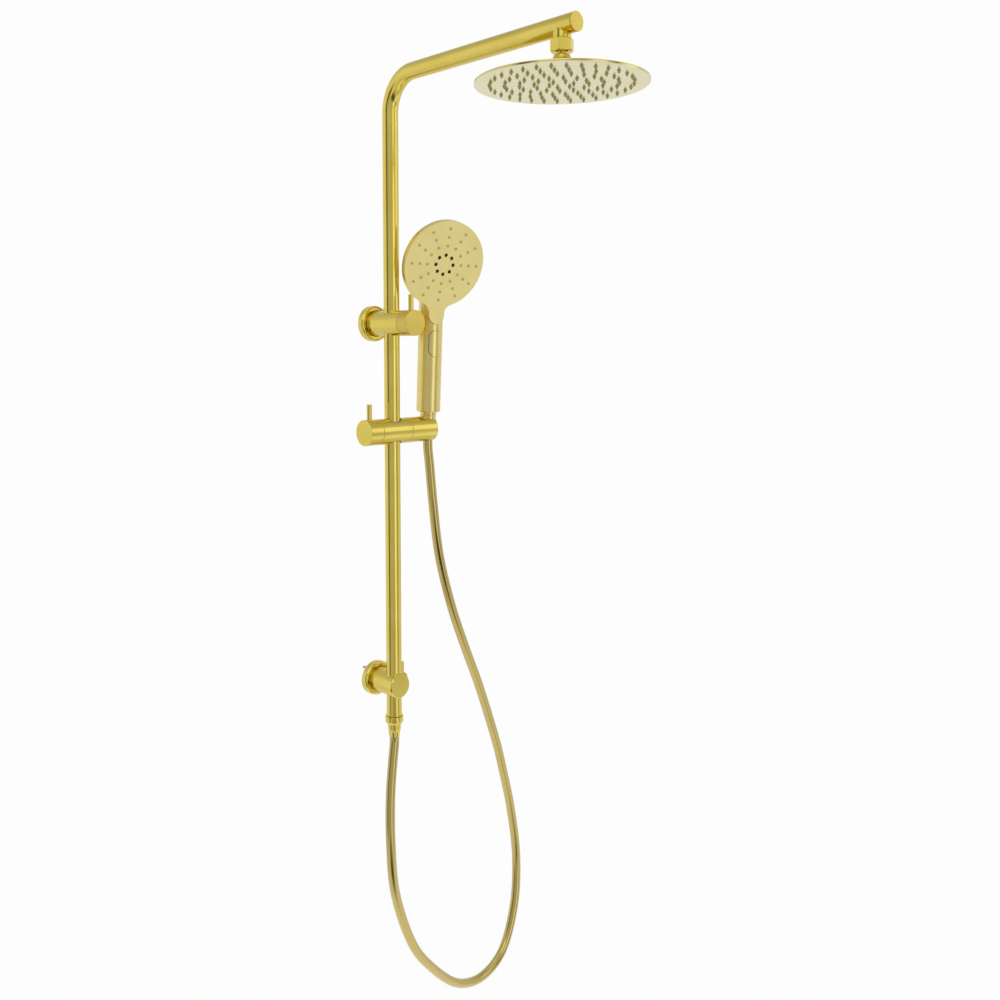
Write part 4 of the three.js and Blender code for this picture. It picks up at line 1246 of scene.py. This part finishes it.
# ------------------------------------------------------------------ hand shower
@dataclass
class Handset(SubAssembly):
    """The hand shower: handle and head in one moulding, spray face with its tongue, nozzles,
    mode button and the hose's conical nut. Its own frame stands on the slider's axis, +Z up the
    handle; the head's frame has its origin at the face's centre and +Z the way the spray leaves.
    """

    offset: float = 66.0
    lean: float = math.radians(2.6)
    facing: float = math.radians(-13)
    drop: float = math.radians(17.2)
    handle_r: float = 17.2
    foot: float = 24.9
    foot_chamfer: float = 1.1
    top: float = 238.0
    face_r: float = 61.0
    face_z: float = 232.0
    face_ahead: float = 36.2
    face_t: float = 2.2
    seam: float = 0.35
    face_round: float = 0.45
    rim: float = 8.0
    back: float = 15.0
    tongue_w: float = 11.5
    corner: float = 14.0
    bend_at: float = 61.5
    bend_r: float = 5.0
    tongue_tip: float = 150.0
    tongue_t: float = 5.6
    button_w: float = 9.6
    button_h: float = 18.6
    button_z: float = 122.5
    button_proud: float = 0.7
    well: float = 11.0
    spring_r: float = 4.0
    spring_wire: float = 0.35
    spring_turns: int = 3
    press: float = 1.5
    jets: int = 8
    jet_ring: float = 13.5
    nozzle_rays: int = 12
    nozzle_rings: Sequence[float] = (26.5, 38.5, 50.5)

    def build(self) -> None:
        """Makes the body, face, jets, nozzles, button and nut."""
        low, high = reach("slider_body")
        axis = Matrix.Translation((self.offset, 0, (low.z + high.z) / 2))
        self.stand = axis @ Matrix.Rotation(self.lean, 4, "X")
        self.front = self.stand @ Matrix.Rotation(self.facing, 4, "Z")
        self.head = Matrix.Translation((0, -self.face_ahead, self.face_z)) @ Matrix.Rotation(
            math.pi / 2 + self.drop, 4, "X"
        )
        self.bend_z = self.face_z - self.bend_at * math.cos(self.drop)
        self.blank_tip = self.bend_at + self.bend_z - self.tongue_tip
        self.body()
        self.spray_face()
        self.jets_and_nozzles()
        self.button()
        self.spring()
        self.cone_nut()

    @staticmethod
    def cone_radius(height: float) -> float:
        """The conical nut's radius at a height from the slider's axis, along the handle."""
        foot, top, foot_r, top_r = -14.0, 24.6, 8.9, 12.0
        return foot_r + (top_r - foot_r) * (height - foot) / (top - foot)

    def outline(self, radius: float, tongue: float, tip: float) -> list[tuple[float, float]]:
        """The face's outline: a disc that runs down into a round-ended tongue.

        Args:
            radius: the disc's radius.
            tongue: half the tongue's width.
            tip: the tongue's end, from the disc's centre.

        Returns:
            The outline's points, anticlockwise.
        """
        side = tongue + self.corner
        drop = math.sqrt((radius + self.corner) ** 2 - side**2)
        meet = math.degrees(math.atan2(drop, side))
        points = arc((0, 0), radius, -meet, 180 + meet, 150)
        points += arc((-side, -drop), self.corner, meet, 0, 16)[1:]
        points += arc((0, tongue - tip), tongue, 180, 360, 32)
        points += arc((side, -drop), self.corner, 180, 180 - meet, 16)[:-1]
        return points

    def stadium(self, grow: float) -> list[tuple[float, float]]:
        """The mode button's outline, grown by a gap."""
        w, h = self.button_w + grow, self.button_h + grow
        return arc((0, h - w), w, 0, 180, 32) + arc((0, w - h), w, 180, 360, 32)

    def body(self) -> None:
        """The handle and head in one moulding."""
        chamfer, dome = self.foot_chamfer, 7.0
        handle = turned(
            [(0, self.foot), (self.handle_r - chamfer, self.foot),
             (self.handle_r, self.foot + chamfer)]
            + arc((self.handle_r - dome, self.top - dome), dome, 0, 90, 10)
            + [(0, self.top)]
        )
        rear = -self.face_t - self.seam
        edge = 1.5
        cup = turned(
            [(0, rear), (self.face_r - 0.3, rear), (self.face_r, rear - 0.3)]
            + arc((self.face_r - edge, rear - self.rim + edge), edge, 0, -78, 8)
            + [(46, -self.rim - 4.1), (32, -self.back + 0.4), (18, -self.back - 1.2),
               (0, -self.back - 2)],
            150,
        )
        neck = extruded(self.outline(self.face_r - 4, self.tongue_w, self.blank_tip - 3),
                        rear - self.rim, rear)
        shoulder = self.shoulder(rear)
        whole = combined(
            handle, Cut.JOIN, placed(cup, self.head), placed(neck, self.head), shoulder
        )
        room = placed(self.face_room(rear), self.head)
        bed = self.tongue_bed()
        well = placed(
            extruded(self.stadium(0.45), self.well, 30),
            Matrix.Translation((0, 0, self.button_z)) @ Axis.FORWARD.turn(),
        )
        cut_body = combined(whole, Cut.AWAY, room, bed, well)
        self.piece(
            "handset_shell", cut_body, self.front, self.finishes.handset, "handset",
            ["handset_body"], "plated_abs",
        )

    def shoulder(self, rear: float) -> BMesh:
        """The fairing that carries the handle's back up into the head.

        Args:
            rear: depth of the seam behind the face plate.

        Returns:
            The fairing.
        """
        bm = bmesh.new()
        rings = (
            (Matrix.Translation((0, 0, 176)), self.handle_r - 0.15),
            (Matrix.Translation((0, 0, 200)), self.handle_r - 0.15),
            (self.head @ Matrix.Translation((0, -9, rear - self.rim + 0.5)), 36),
            (self.head @ Matrix.Translation((0, 4, -self.back - 0.8)), 24),
        )
        for place, radius in rings:
            bmesh.ops.create_circle(bm, cap_ends=False, segments=64, radius=radius, matrix=place)
        hull = bmesh.ops.convex_hull(bm, input=bm.verts)
        bmesh.ops.delete(bm, geom=only(hull["geom_interior"], BMVert), context="VERTS")
        return closed(bm)

    def face_room(self, rear: float) -> BMesh:
        """What is cut from the body for the face plate, down to its bend.

        Args:
            rear: depth of the seam behind the face plate.

        Returns:
            The shape that is cut away.
        """
        grow = self.seam
        prism = extruded(
            self.outline(self.face_r + grow, self.tongue_w + grow, self.blank_tip + grow),
            rear, self.handle_r,
        )
        size = 4 * self.face_r
        keep = bmesh.new()
        bmesh.ops.create_cube(
            keep, size=size, matrix=Matrix.Translation((0, size / 2 - self.bend_at - grow, 0))
        )
        return combined(prism, Cut.COMMON, keep)

    def tongue_bed(self) -> BMesh:
        """What is cut from the handle for the tongue's foot.

        Returns:
            The shape that is cut away.
        """
        grow = 0.25
        blank = extruded(
            self.outline(self.face_r + grow, self.tongue_w + grow, self.blank_tip + grow), 12.2, 40
        )
        placed(
            blank, Matrix.Translation((0, 0, self.bend_z + self.bend_at)) @ Axis.FORWARD.turn()
        )
        size = 4 * self.face_r
        keep = bmesh.new()
        bmesh.ops.create_cube(
            keep, size=size, matrix=Matrix.Translation((0, 0, self.bend_z + grow - size / 2))
        )
        return combined(blank, Cut.COMMON, keep)

    def bent(self, y: float, depth: float) -> tuple[float, float]:
        """Where a point of the flat blank goes when the tongue is bent.

        Args:
            y: its height on the blank, from the face's centre.
            depth: its distance behind the blank's front.

        Returns:
            Its height and forward place in the head's frame.
        """
        start = -self.bend_at + self.bend_r * math.tan(self.drop / 2)
        run = max(0.0, start - y)
        turn = min(run / self.bend_r, self.drop)
        straight = run - self.bend_r * turn
        height = max(y, start) - self.bend_r * math.sin(turn) - straight * math.cos(turn)
        forward = self.bend_r * (1 - math.cos(turn)) + straight * math.sin(turn)
        return height - depth * math.sin(turn), forward - depth * math.cos(turn)

    def spray_face(self) -> None:
        """The face plate: a flat disc whose tongue bends down onto the handle, with jet holes."""
        blank = bmesh.new()
        outline = self.outline(self.face_r, self.tongue_w, self.blank_tip)
        blank.faces.new([blank.verts.new((x, y, 0)) for x, y in outline])
        first, last = -self.bend_at + 12, -self.bend_at - 4
        steps = 32
        for i in range(steps + 1):
            level = first + (last - first) * i / steps
            bmesh.ops.bisect_plane(
                blank, geom=blank.verts[:] + blank.edges[:] + blank.faces[:],
                plane_co=(0, level, 0), plane_no=(0, 1, 0),
            )
        grown = bmesh.ops.extrude_face_region(
            blank, geom=blank.faces[:], use_keep_orig=True
        )["geom"]
        rear = set(only(grown, BMVert))
        for vert in blank.verts:
            y = vert.co.y
            share = min(1.0, max(0.0, (first - 4 - y) / 9))
            depth = self.face_t + (self.tongue_t - self.face_t) * share if vert in rear else 0.0
            vert.co.y, vert.co.z = self.bent(y, depth)
        closed(blank)
        rim = [e for e in sharp_edges(blank, RIM_ANGLE) if self.on_front(e)]
        bevelled(blank, rim, self.face_round, 2)
        holes = bmesh.new()
        for x, y in self.jet_places():
            gather(holes, placed(self.jet_cutter(), Matrix.Translation((x, y, 0))))
        self.piece(
            "spray_plate", combined(blank, Cut.AWAY, holes), self.front @ self.head,
            self.finishes.spray_face, "handset", ["spray_face"], "plated_abs",
        )

    def on_front(self, edge: BMEdge) -> bool:
        """Whether an edge lies on the plate's front, flat or bent.

        Args:
            edge: an edge of the bent plate.

        Returns:
            True where it does.
        """
        flat = all(abs(v.co.z) < 0.01 and v.co.y > -self.bend_at + 3 for v in edge.verts)
        slope = math.tan(self.drop)
        bent = all(
            v.co.y <= -self.bend_at + 3 and v.co.z > (-self.bend_at - v.co.y) * slope - 0.6
            for v in edge.verts
        )
        return flat or bent

    def jet_places(self) -> list[tuple[float, float]]:
        """Where the jet holes stand on the face."""
        turns = [k * FULL_TURN / self.jets for k in range(self.jets)]
        return [(self.jet_ring * math.sin(t), self.jet_ring * math.cos(t)) for t in turns]

    @staticmethod
    def jet_cutter() -> BMesh:
        """A jet hole with a countersunk mouth."""
        return turned([(0, -1.7), (2.5, -1.7), (2.5, -0.4), (2.95, 0.05), (2.95, 1), (0, 1)], 32)

    def jets_and_nozzles(self) -> None:
        """Near-black discs at the bottoms of the jet holes, which are painted shade, and the small
        domed nozzles on twelve rays.
        """
        painted_shade_discs, domes = bmesh.new(), bmesh.new()
        for x, y in self.jet_places():
            # Each disc fills the bottom of a jet hole, and its near-black colour is painted shade.
            bore = turned(
                [(0, -2.0), (2.5, -2.0), (2.5, -0.6), (1.1, -0.6), (1.1, -1.2), (0, -1.2)], 24
            )
            gather(painted_shade_discs, placed(bore, Matrix.Translation((x, y, 0))))
        for ring in self.nozzle_rings:
            for k in range(self.nozzle_rays):
                angle = k * FULL_TURN / self.nozzle_rays
                dome = turned(
                    [(0, -0.3), (2.25, -0.3), (2.25, 0.1), (1.9, 0.75), (1.2, 1.0), (0.7, 1.0),
                     (0.7, 0.3), (0, 0.3)],
                    18,
                )
                spot = Matrix.Translation((ring * math.sin(angle), ring * math.cos(angle), 0))
                gather(domes, placed(dome, spot))
        place = self.front @ self.head
        self.piece(
            "painted_shade_in_jet_holes", painted_shade_discs, place, self.finishes.jet, "handset", ["spray_distributor"], "plated_abs"
        )
        self.piece(
            "spray_nozzles", domes, place, self.finishes.nozzle, "handset", ["spray_nozzle_mat"],
            "silicone",
        )

    def button(self) -> None:
        """The oval mode button, crowned like the handle and a little proud of it."""
        blank = placed(
            extruded(self.stadium(0), self.well + 4, 30),
            Matrix.Translation((0, 0, self.button_z)) @ Axis.FORWARD.turn(),
        )
        skin = rod(self.handle_r + self.button_proud, self.button_z - 30, self.button_z + 30, 144)
        crowned = softened(combined(blank, Cut.COMMON, skin), 0.5, 2)
        self.piece(
            "spray_button", crowned, self.front, self.finishes.handset, "button", ["mode_button"],
            "plated_abs",
        )

    def spring(self) -> None:
        """The coil spring under the mode button, made at one length."""
        wire, steps = self.spring_wire, 24 * self.spring_turns
        start, end = self.well + 2 * wire, self.well + 4 - 2 * wire
        coil = bmesh.new()
        bmesh.ops.create_circle(
            coil, cap_ends=False, segments=8, radius=wire,
            matrix=Matrix.Translation((self.spring_r, 0, start)) @ Axis.FORWARD.turn(),
        )
        bmesh.ops.spin(
            coil, geom=coil.verts[:] + coil.edges[:], axis=(0, 0, 1), cent=(0, 0, 0),
            angle=FULL_TURN * self.spring_turns, steps=steps, dvec=(0, 0, (end - start) / steps),
        )
        bmesh.ops.holes_fill(coil, edges=coil.edges, sides=8)
        closed(coil)
        place = self.front @ Matrix.Translation((0, 0, self.button_z)) @ Axis.FORWARD.turn()
        obj = self.piece(
            "button_coil", coil, place, self.finishes.steel, "handset", ["button_spring"], "steel"
        )
        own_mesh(obj)

    def cone_nut(self) -> None:
        """The hose's conical nut, with a fine groove under its top edge."""
        foot, top = -14.0, 24.6
        groove = top - 4
        radius = self.cone_radius
        profile = [
            (7.4, foot), (radius(foot) - 0.5, foot), (radius(foot), foot + 0.5),
            (radius(groove - 0.5), groove - 0.5), (radius(groove) - 0.5, groove - 0.2),
            (radius(groove) - 0.5, groove + 0.2), (radius(groove + 0.5), groove + 0.5),
            (radius(top) - 0.05, top - 0.4), (radius(top) - 0.4, top), (7.4, top),
        ]
        self.piece(
            "hose_cone", turned(profile), self.stand, self.finishes.handset, "handset",
            ["hose_cone_nut"], "plated_abs",
        )


# ------------------------------------------------------------------ hose
@dataclass(frozen=True)
class HoseStretch:
    """One stretch of the hose, which runs between two bodies.

    Its ends are heights on the limb below the handset, and `start` and `end` are where it begins
    and ends to follow the second body, all in millimetres of the riser's frame; they are not used. Its
    fittings are the pieces and CAD nodes on it that are listed with it, and they are not used either.
    """

    name: str
    low: float | None
    high: float
    bodies: tuple[str, str]
    start: tuple[float, float, float]
    end: tuple[float, float, float]
    fittings: tuple[str, ...] = ()


@dataclass
class Hose(SubAssembly):
    """The 1.5 m shower hose from the outlet round its hanging loop and up to the handset."""

    radius: float = 7.0
    sides: int = 24
    pitch: float = 3.0
    route: Sequence[tuple[float, float, float]] = (
        (66.3, 0.7, 351.6), (66.8, 0.9, 338), (70.2, 1.4, 314), (77.6, 2, 254), (91, 4, 177),
        (118, 7, 94), (148, 9, 24), (177, 12, -36), (199, 14, -87), (214, 15, -125),
        (228, 16, -162), (240, 17, -200), (261, 18, -276), (272, 15, -364), (261, 9, -443),
        (225, 2, -507), (177, -3, -525), (122, -7, -511), (54, -12, -448), (20, -14, -399),
        (-12, -14, -307), (-17, -11, -233), (-13, -6, -163), (-4.5, -2, -109), (-0.4, -0.1, -90),
        (0, 0, -84), (0, 0, -77.9),
    )
    stretches: Sequence[HoseStretch] = (
        HoseStretch(
            "hose_loop", None, -100, ("root", "liner"), (20, 0, 0), (190, 0, 0),
            ("coupling_nut", "crimped_ferrule", "hose_insert_lower", "hose_washer_lower"),
        ),
        HoseStretch("hose_limb", -100, 100, ("liner", "slider"), (0, 0, -88), (0, 0, 88)),
        HoseStretch("hose_rise", 100, 262, ("slider", "holder"), (0, 0, 112), (0, 0, 250)),
        HoseStretch(
            "hose_top", 262, 352, ("holder", "handset"), (0, 0, 274), (0, 0, 338),
            ("hose_cone", "hose_insert_upper"),
        ),
    )

    def build(self) -> None:
        """Makes the four stretches."""
        line = self.centre_line()
        frames = self.carried_frames(line)
        travelled = [0.0]
        for a, b in zip(line, line[1:]):
            travelled.append(travelled[-1] + (b - a).length)
        lowest = min(range(len(line)), key=lambda i: line[i].z)
        limb = range(lowest, len(line))
        for stretch in self.stretches:
            first = 0 if stretch.low is None else self.nearest(line, limb, stretch.low)
            last = self.nearest(line, limb, stretch.high)
            self.tube_piece(stretch, line, frames, travelled, first, last)

    def centre_line(self) -> list[Vector]:
        """The hose's centre line, a smooth curve through the route's points.

        Returns:
            Its points from the outlet to the handset, every few millimetres.
        """
        knots = [Vector(p) for p in reversed(self.route)]
        knots = [2 * knots[0] - knots[1], *knots, 2 * knots[-1] - knots[-2]]
        line: list[Vector] = []
        for a, b, c, d in zip(knots, knots[1:], knots[2:], knots[3:]):
            spans = ((a, b), (b, c), (c, d))
            before, here, after = (max((q - p).length ** 0.5, 1e-4) for p, q in spans)
            leave = here * ((b - a) / before - (c - a) / (before + here) + (c - b) / here)
            arrive = here * ((c - b) / here - (d - b) / (here + after) + (d - c) / after)
            steps = max(2, round((c - b).length / self.pitch))
            for i in range(steps):
                t = i / steps
                point = b + leave * t + (3 * (c - b) - 2 * leave - arrive) * t**2
                line.append(point + (2 * (b - c) + leave + arrive) * t**3)
        line.append(knots[-2])
        return line

    @staticmethod
    def carried_frames(line: list[Vector]) -> list[Matrix]:
        """A frame at each point of a line, carried along it without twist.

        Args:
            line: the points.

        Returns:
            The frames, with +Z along the line.
        """
        frames = []
        across = Vector((1, 0, 0))
        for i, point in enumerate(line):
            ahead = (line[min(i + 1, len(line) - 1)] - line[max(i - 1, 0)]).normalized()
            across = (across - ahead * across.dot(ahead)).normalized()
            turn = Matrix((across, ahead.cross(across), ahead)).transposed().to_4x4()
            frames.append(Matrix.Translation(point) @ turn)
        return frames

    @staticmethod
    def nearest(line: list[Vector], places: range, height: float) -> int:
        """The point of a stretch of the line whose height is nearest to a height."""
        return min(places, key=lambda i: abs(line[i].z - height))

    def tube_piece(
        self, stretch: HoseStretch, line: list[Vector], frames: list[Matrix],
        travelled: list[float], first: int, last: int,
    ) -> None:
        """Args:
            stretch: which stretch it is.
            line: the hose's centre line, which is not used.
            frames: the frame at each of its points.
            travelled: the length up to each point.
            first: its first point.
            last: its last point.
        """
        bm = bmesh.new()
        ring = bmesh.ops.create_circle(
            bm, cap_ends=True, segments=self.sides, radius=self.radius, matrix=frames[first]
        )["verts"]
        spots = {v: (first, k) for k, v in enumerate(ring)}
        edges = list(bm.edges)
        for i in range(first + 1, last + 1):
            grown = bmesh.ops.extrude_edge_only(bm, edges=edges)["geom"]
            ring, edges = only(grown, BMVert), only(grown, BMEdge)
            bmesh.ops.transform(bm, matrix=frames[i] @ frames[i - 1].inverted(), verts=ring)
            for vert in ring:
                spots[vert] = (i, self.place_round(frames[i], vert))
        bmesh.ops.contextual_create(bm, geom=edges)
        bmesh.ops.recalc_face_normals(bm, faces=bm.faces)
        self.unroll(bm, spots, travelled)
        obj = as_object(stretch.name, placed(bm, RISER))
        mesh = obj.data
        mesh.materials.append(self.finishes.hose)
        mesh.shade_smooth()
        mesh.set_sharp_from_angle(angle=HOSE_SHADE_ANGLE)
        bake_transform(obj)
        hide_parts("hose")
        LOG.info("%s: %.0f mm of hose", stretch.name, travelled[last] - travelled[first])

    def place_round(self, here: Matrix, vert: BMVert) -> int:
        """Which of a ring's corners a vertex is, counted round the ring."""
        local = here.inverted() @ vert.co
        turn = math.atan2(local.y, local.x) / FULL_TURN
        return round(turn * self.sides) % self.sides

    def unroll(
        self, bm: BMesh, spots: dict[BMVert, tuple[int, int]], travelled: list[float]
    ) -> None:
        """Gives the tube its UV map: metres along the hose, and turns round it.

        Args:
            bm: the tube.
            spots: each vertex's point of the line, and its corner of the ring there.
            travelled: the length up to each point.
        """
        layer = bm.loops.layers.uv.new("UVMap")
        for face in bm.faces:
            rounds = [spots[loop.vert][1] for loop in face.loops]
            wraps = max(rounds) - min(rounds) > self.sides // 2 and len(rounds) == 4
            for loop, place in zip(face.loops, rounds):
                turn = place + self.sides if wraps and place < self.sides // 2 else place
                along = travelled[spots[loop.vert][0]] * MM
                loop[layer].uv = (along, turn / self.sides)


# ------------------------------------------------------------------ studio
ROOM_STRENGTH = 1.6
PAPER_WHITE = "fdfdfd"

# How bright the room is, as (degrees round from the camera's side, light).
WALL_LIGHT = (
    (-180, 0.85), (-76, 0.85), (-68, 0.6), (-63, 0.09), (-50, 0.09), (-45, 0.5), (-12, 0.56),
    (24, 0.5), (33, 0.95), (38, 1.3), (51, 1.25), (57, 0.6), (64, 0.4), (69, 0.26), (74, 0.3),
    (82, 0.66), (92, 0.75), (180, 0.85),
)
GROUND_LIGHT = (
    (-180, 0.7), (-60, 0.8), (-26, 0.85), (-17, 0.07), (33, 0.07), (40, 0.4), (47, 0.82),
    (70, 0.95), (100, 0.95), (180, 0.7),
)

# How bright it is straight down and overhead, as (the direction's height from -1 to 1, light).
CEILING_LIGHT = ((-1, 0.6), (-0.6, 0.6), (0.2, 0.6), (0.5, 0.68), (0.75, 0.5), (1, 0.9))


@dataclass
class Studio:
    """The camera, the soft light round the column and the pale floor."""

    eye: tuple[float, float, float] = (-0.90498, -1.15292, 0.49388)
    heading: float = math.radians(41.891)
    pitch: float = math.radians(-6.179)
    roll: float = math.radians(-0.104)
    lens: float = 36.823
    shift: tuple[float, float] = (0.06, -0.05)
    floor_below: float = 0.42
    floor_size: float = 3.0

    def build(self) -> None:
        """Makes the camera, light and floor."""
        self.camera()
        self.surroundings()
        self.floor()
        self.softbox("key_softbox", (-2.2, -1.6, 2.6), (0, -0.1, 0.3), 2.2, 12)
        self.softbox("fill_softbox", (2.0, -2.4, 1.2), (0, -0.1, 0.2), 1.6, 4)
        bpy.context.scene.view_settings.view_transform = "Standard"

    def camera(self) -> None:
        """The camera, at the angle that the column is shown from."""
        ahead = Vector(
            (math.sin(self.heading) * math.cos(self.pitch),
             math.cos(self.heading) * math.cos(self.pitch), math.sin(self.pitch))
        )
        level = Vector((math.cos(self.heading), -math.sin(self.heading), 0))
        above = level.cross(ahead)
        right = level * math.cos(self.roll) + above * math.sin(self.roll)
        up = above * math.cos(self.roll) - level * math.sin(self.roll)
        turn = Matrix((right, up, -ahead)).transposed().to_4x4()
        data = bpy.data.cameras.new("camera")
        data.sensor_width = 36
        data.lens = self.lens
        data.shift_x, data.shift_y = self.shift
        data.clip_start = 0.01
        camera = bpy.data.objects.new("camera", data)
        camera.matrix_world = Matrix.Translation(self.eye) @ turn
        bpy.context.scene.collection.objects.link(camera)
        bpy.context.scene.camera = camera

    def softbox(
        self, name: str, place: tuple[float, float, float], aim: tuple[float, float, float],
        size: float, power: float,
    ) -> None:
        """Adds a square area light.

        Args:
            name: the light's name.
            place: where it stands.
            aim: what it points at.
            size: its side.
            power: its power in watts.
        """
        data = bpy.data.lights.new(name, "AREA")
        data.size = size
        data.energy = power
        light = bpy.data.objects.new(name, data)
        way = (Vector(aim) - Vector(place)).to_track_quat("-Z", "Y").to_matrix().to_4x4()
        light.matrix_world = Matrix.Translation(place) @ way
        bpy.context.scene.collection.objects.link(light)

    def surroundings(self) -> None:
        """A pale room with two dark screens and a light strip, which draw the long reflections.

        The backdrop behind the column is plain white.
        """
        world = bpy.data.worlds.new("studio")
        bpy.context.scene.world = world
        world.use_nodes = True
        tree = world.node_tree
        tree.nodes.clear()
        way = add(tree, "TexCoord", {}).outputs["Generated"]
        toward = (-math.sin(self.heading), -math.cos(self.heading), 0)
        aside = (math.cos(self.heading), -math.sin(self.heading), 0)
        near, side = (
            add(tree, "VectorMath", {0: way, 1: other}, operation="DOT_PRODUCT").outputs["Value"]
            for other in (toward, aside)
        )
        turn = add(tree, "Math", {0: side, 1: near}, operation="ARCTAN2").outputs["Value"]
        share = add(
            tree, "MapRange", {"Value": turn, "From Min": -math.pi, "From Max": math.pi}
        ).outputs["Result"]
        walls = self.ramp(tree, share, WALL_LIGHT, lambda degrees: degrees / 360 + 0.5)
        ground = self.ramp(tree, share, GROUND_LIGHT, lambda degrees: degrees / 360 + 0.5)
        height = add(tree, "SeparateXYZ", {"Vector": way}).outputs["Z"]
        level = add(
            tree, "MapRange", {"Value": height, "From Min": -1.0, "From Max": 1.0}
        ).outputs["Result"]
        ceiling = self.ramp(tree, level, CEILING_LIGHT, lambda rise: rise / 2 + 0.5)
        low = self.band(tree, height, -0.32, -0.44)
        lowest = self.band(tree, height, -0.62, -0.78)
        high = self.band(tree, height, 0.25, 0.5)
        light = walls
        for factor, other in ((low, ground), (lowest, ceiling), (high, ceiling)):
            light = colour_output(
                add(tree, "Mix", {"Factor": factor, "A": light, "B": other}, data_type="RGBA")
            )
        room = add(tree, "Background", {"Color": light, "Strength": ROOM_STRENGTH}).outputs[0]
        paper = {"Color": linear(PAPER_WHITE), "Strength": 1.0}
        backdrop = add(tree, "Background", paper).outputs[0]
        seen = add(tree, "LightPath", {}).outputs["Is Camera Ray"]
        shown = add(tree, "MixShader", {0: seen, 1: room, 2: backdrop}).outputs[0]
        add(tree, "OutputWorld", {"Surface": shown})

    @staticmethod
    def band(
        tree: bpy.types.NodeTree, height: bpy.types.NodeSocket, start: float, end: float
    ) -> bpy.types.NodeSocket:
        """A smooth step from 0 to 1 with height.

        Args:
            tree: the tree that gets it.
            height: the height.
            start: the height where the step begins.
            end: the height where it ends.

        Returns:
            The step's output.
        """
        return add(
            tree, "MapRange", {"Value": height, "From Min": start, "From Max": end},
            interpolation_type="SMOOTHSTEP",
        ).outputs["Result"]

    @staticmethod
    def ramp(
        tree: bpy.types.NodeTree, value: bpy.types.NodeSocket, stops: Profile,
        where: Callable[[float], float],
    ) -> bpy.types.NodeSocket:
        """A ramp of greys, whose light values are divided by the room's strength.

        Args:
            tree: the tree that gets it.
            value: the ramp's input.
            stops: places and light values.
            where: turns a place into the ramp's own 0 to 1.

        Returns:
            Its colour output.
        """
        node = add(tree, "ValToRGB", {"Fac": value})
        elements = node.color_ramp.elements
        for place, _ in stops[1:-1]:
            elements.new(where(place))
        for stop, (place, grey) in zip(elements, stops):
            stop.position = where(place)
            level = grey / ROOM_STRENGTH
            stop.color = (level, level, level, 1)
        return node.outputs["Color"]

    def floor(self) -> None:
        """A plain pale floor that fades into the backdrop."""
        bm = bmesh.new()
        level = CAD_BOX[0][2] - self.floor_below
        bmesh.ops.create_circle(
            bm, cap_ends=True, segments=96, radius=self.floor_size / 2,
            matrix=Matrix.Translation((0, -0.1, level)),
        )
        floor = as_object("floor", bm)
        material, tree = blank_material("pale_floor")
        spot = add(tree, "TexCoord", {}).outputs["Object"]
        split = add(tree, "SeparateXYZ", {"Vector": spot})
        level_spot = {"X": split.outputs["X"], "Y": split.outputs["Y"]}
        flat = add(tree, "CombineXYZ", level_spot).outputs[0]
        far = add(tree, "VectorMath", {0: flat}, operation="LENGTH").outputs["Value"]
        fade = add(
            tree, "MapRange",
            {"Value": far, "From Min": 0.12 * self.floor_size, "From Max": 0.46 * self.floor_size},
            interpolation_type="SMOOTHSTEP",
        ).outputs["Result"]
        paint = add(
            tree, "BsdfPrincipled",
            {"Base Color": linear("fafafa"), "Roughness": 0.9, "Emission Color": linear("ffffff"),
             "Emission Strength": 0.3},
        ).outputs["BSDF"]
        clear = add(tree, "BsdfTransparent", {}).outputs[0]
        surface = add(tree, "MixShader", {0: fade, 1: paint, 2: clear}).outputs[0]
        add(tree, "OutputMaterial", {"Surface": surface})
        floor.data.materials.append(material)


# ------------------------------------------------------------------ assembly
def dress_kept_nodes(finishes: Finishes) -> None:
    """Gives every CAD node the finish of its material slot."""
    for part in frame["record"]["subparts"]:
        for holder in frame["nodes"][part["node"]].material_slots:
            holder.material = finishes.by_slot(part["material_slot"])


def main() -> None:
    """Builds the studio and every sub-assembly."""
    logging.basicConfig(level=logging.INFO, format="%(name)s: %(message)s")
    finishes = Finishes()
    Studio().build()
    Pipework(finishes).build()
    RainHead(finishes).build()
    DiverterBracket(finishes).build()
    OutletBracket(finishes).build()
    Slider(finishes).build()
    Handset(finishes).build()
    Hose(finishes).build()
    dress_kept_nodes(finishes)


if __name__ == "__main__":
    main()
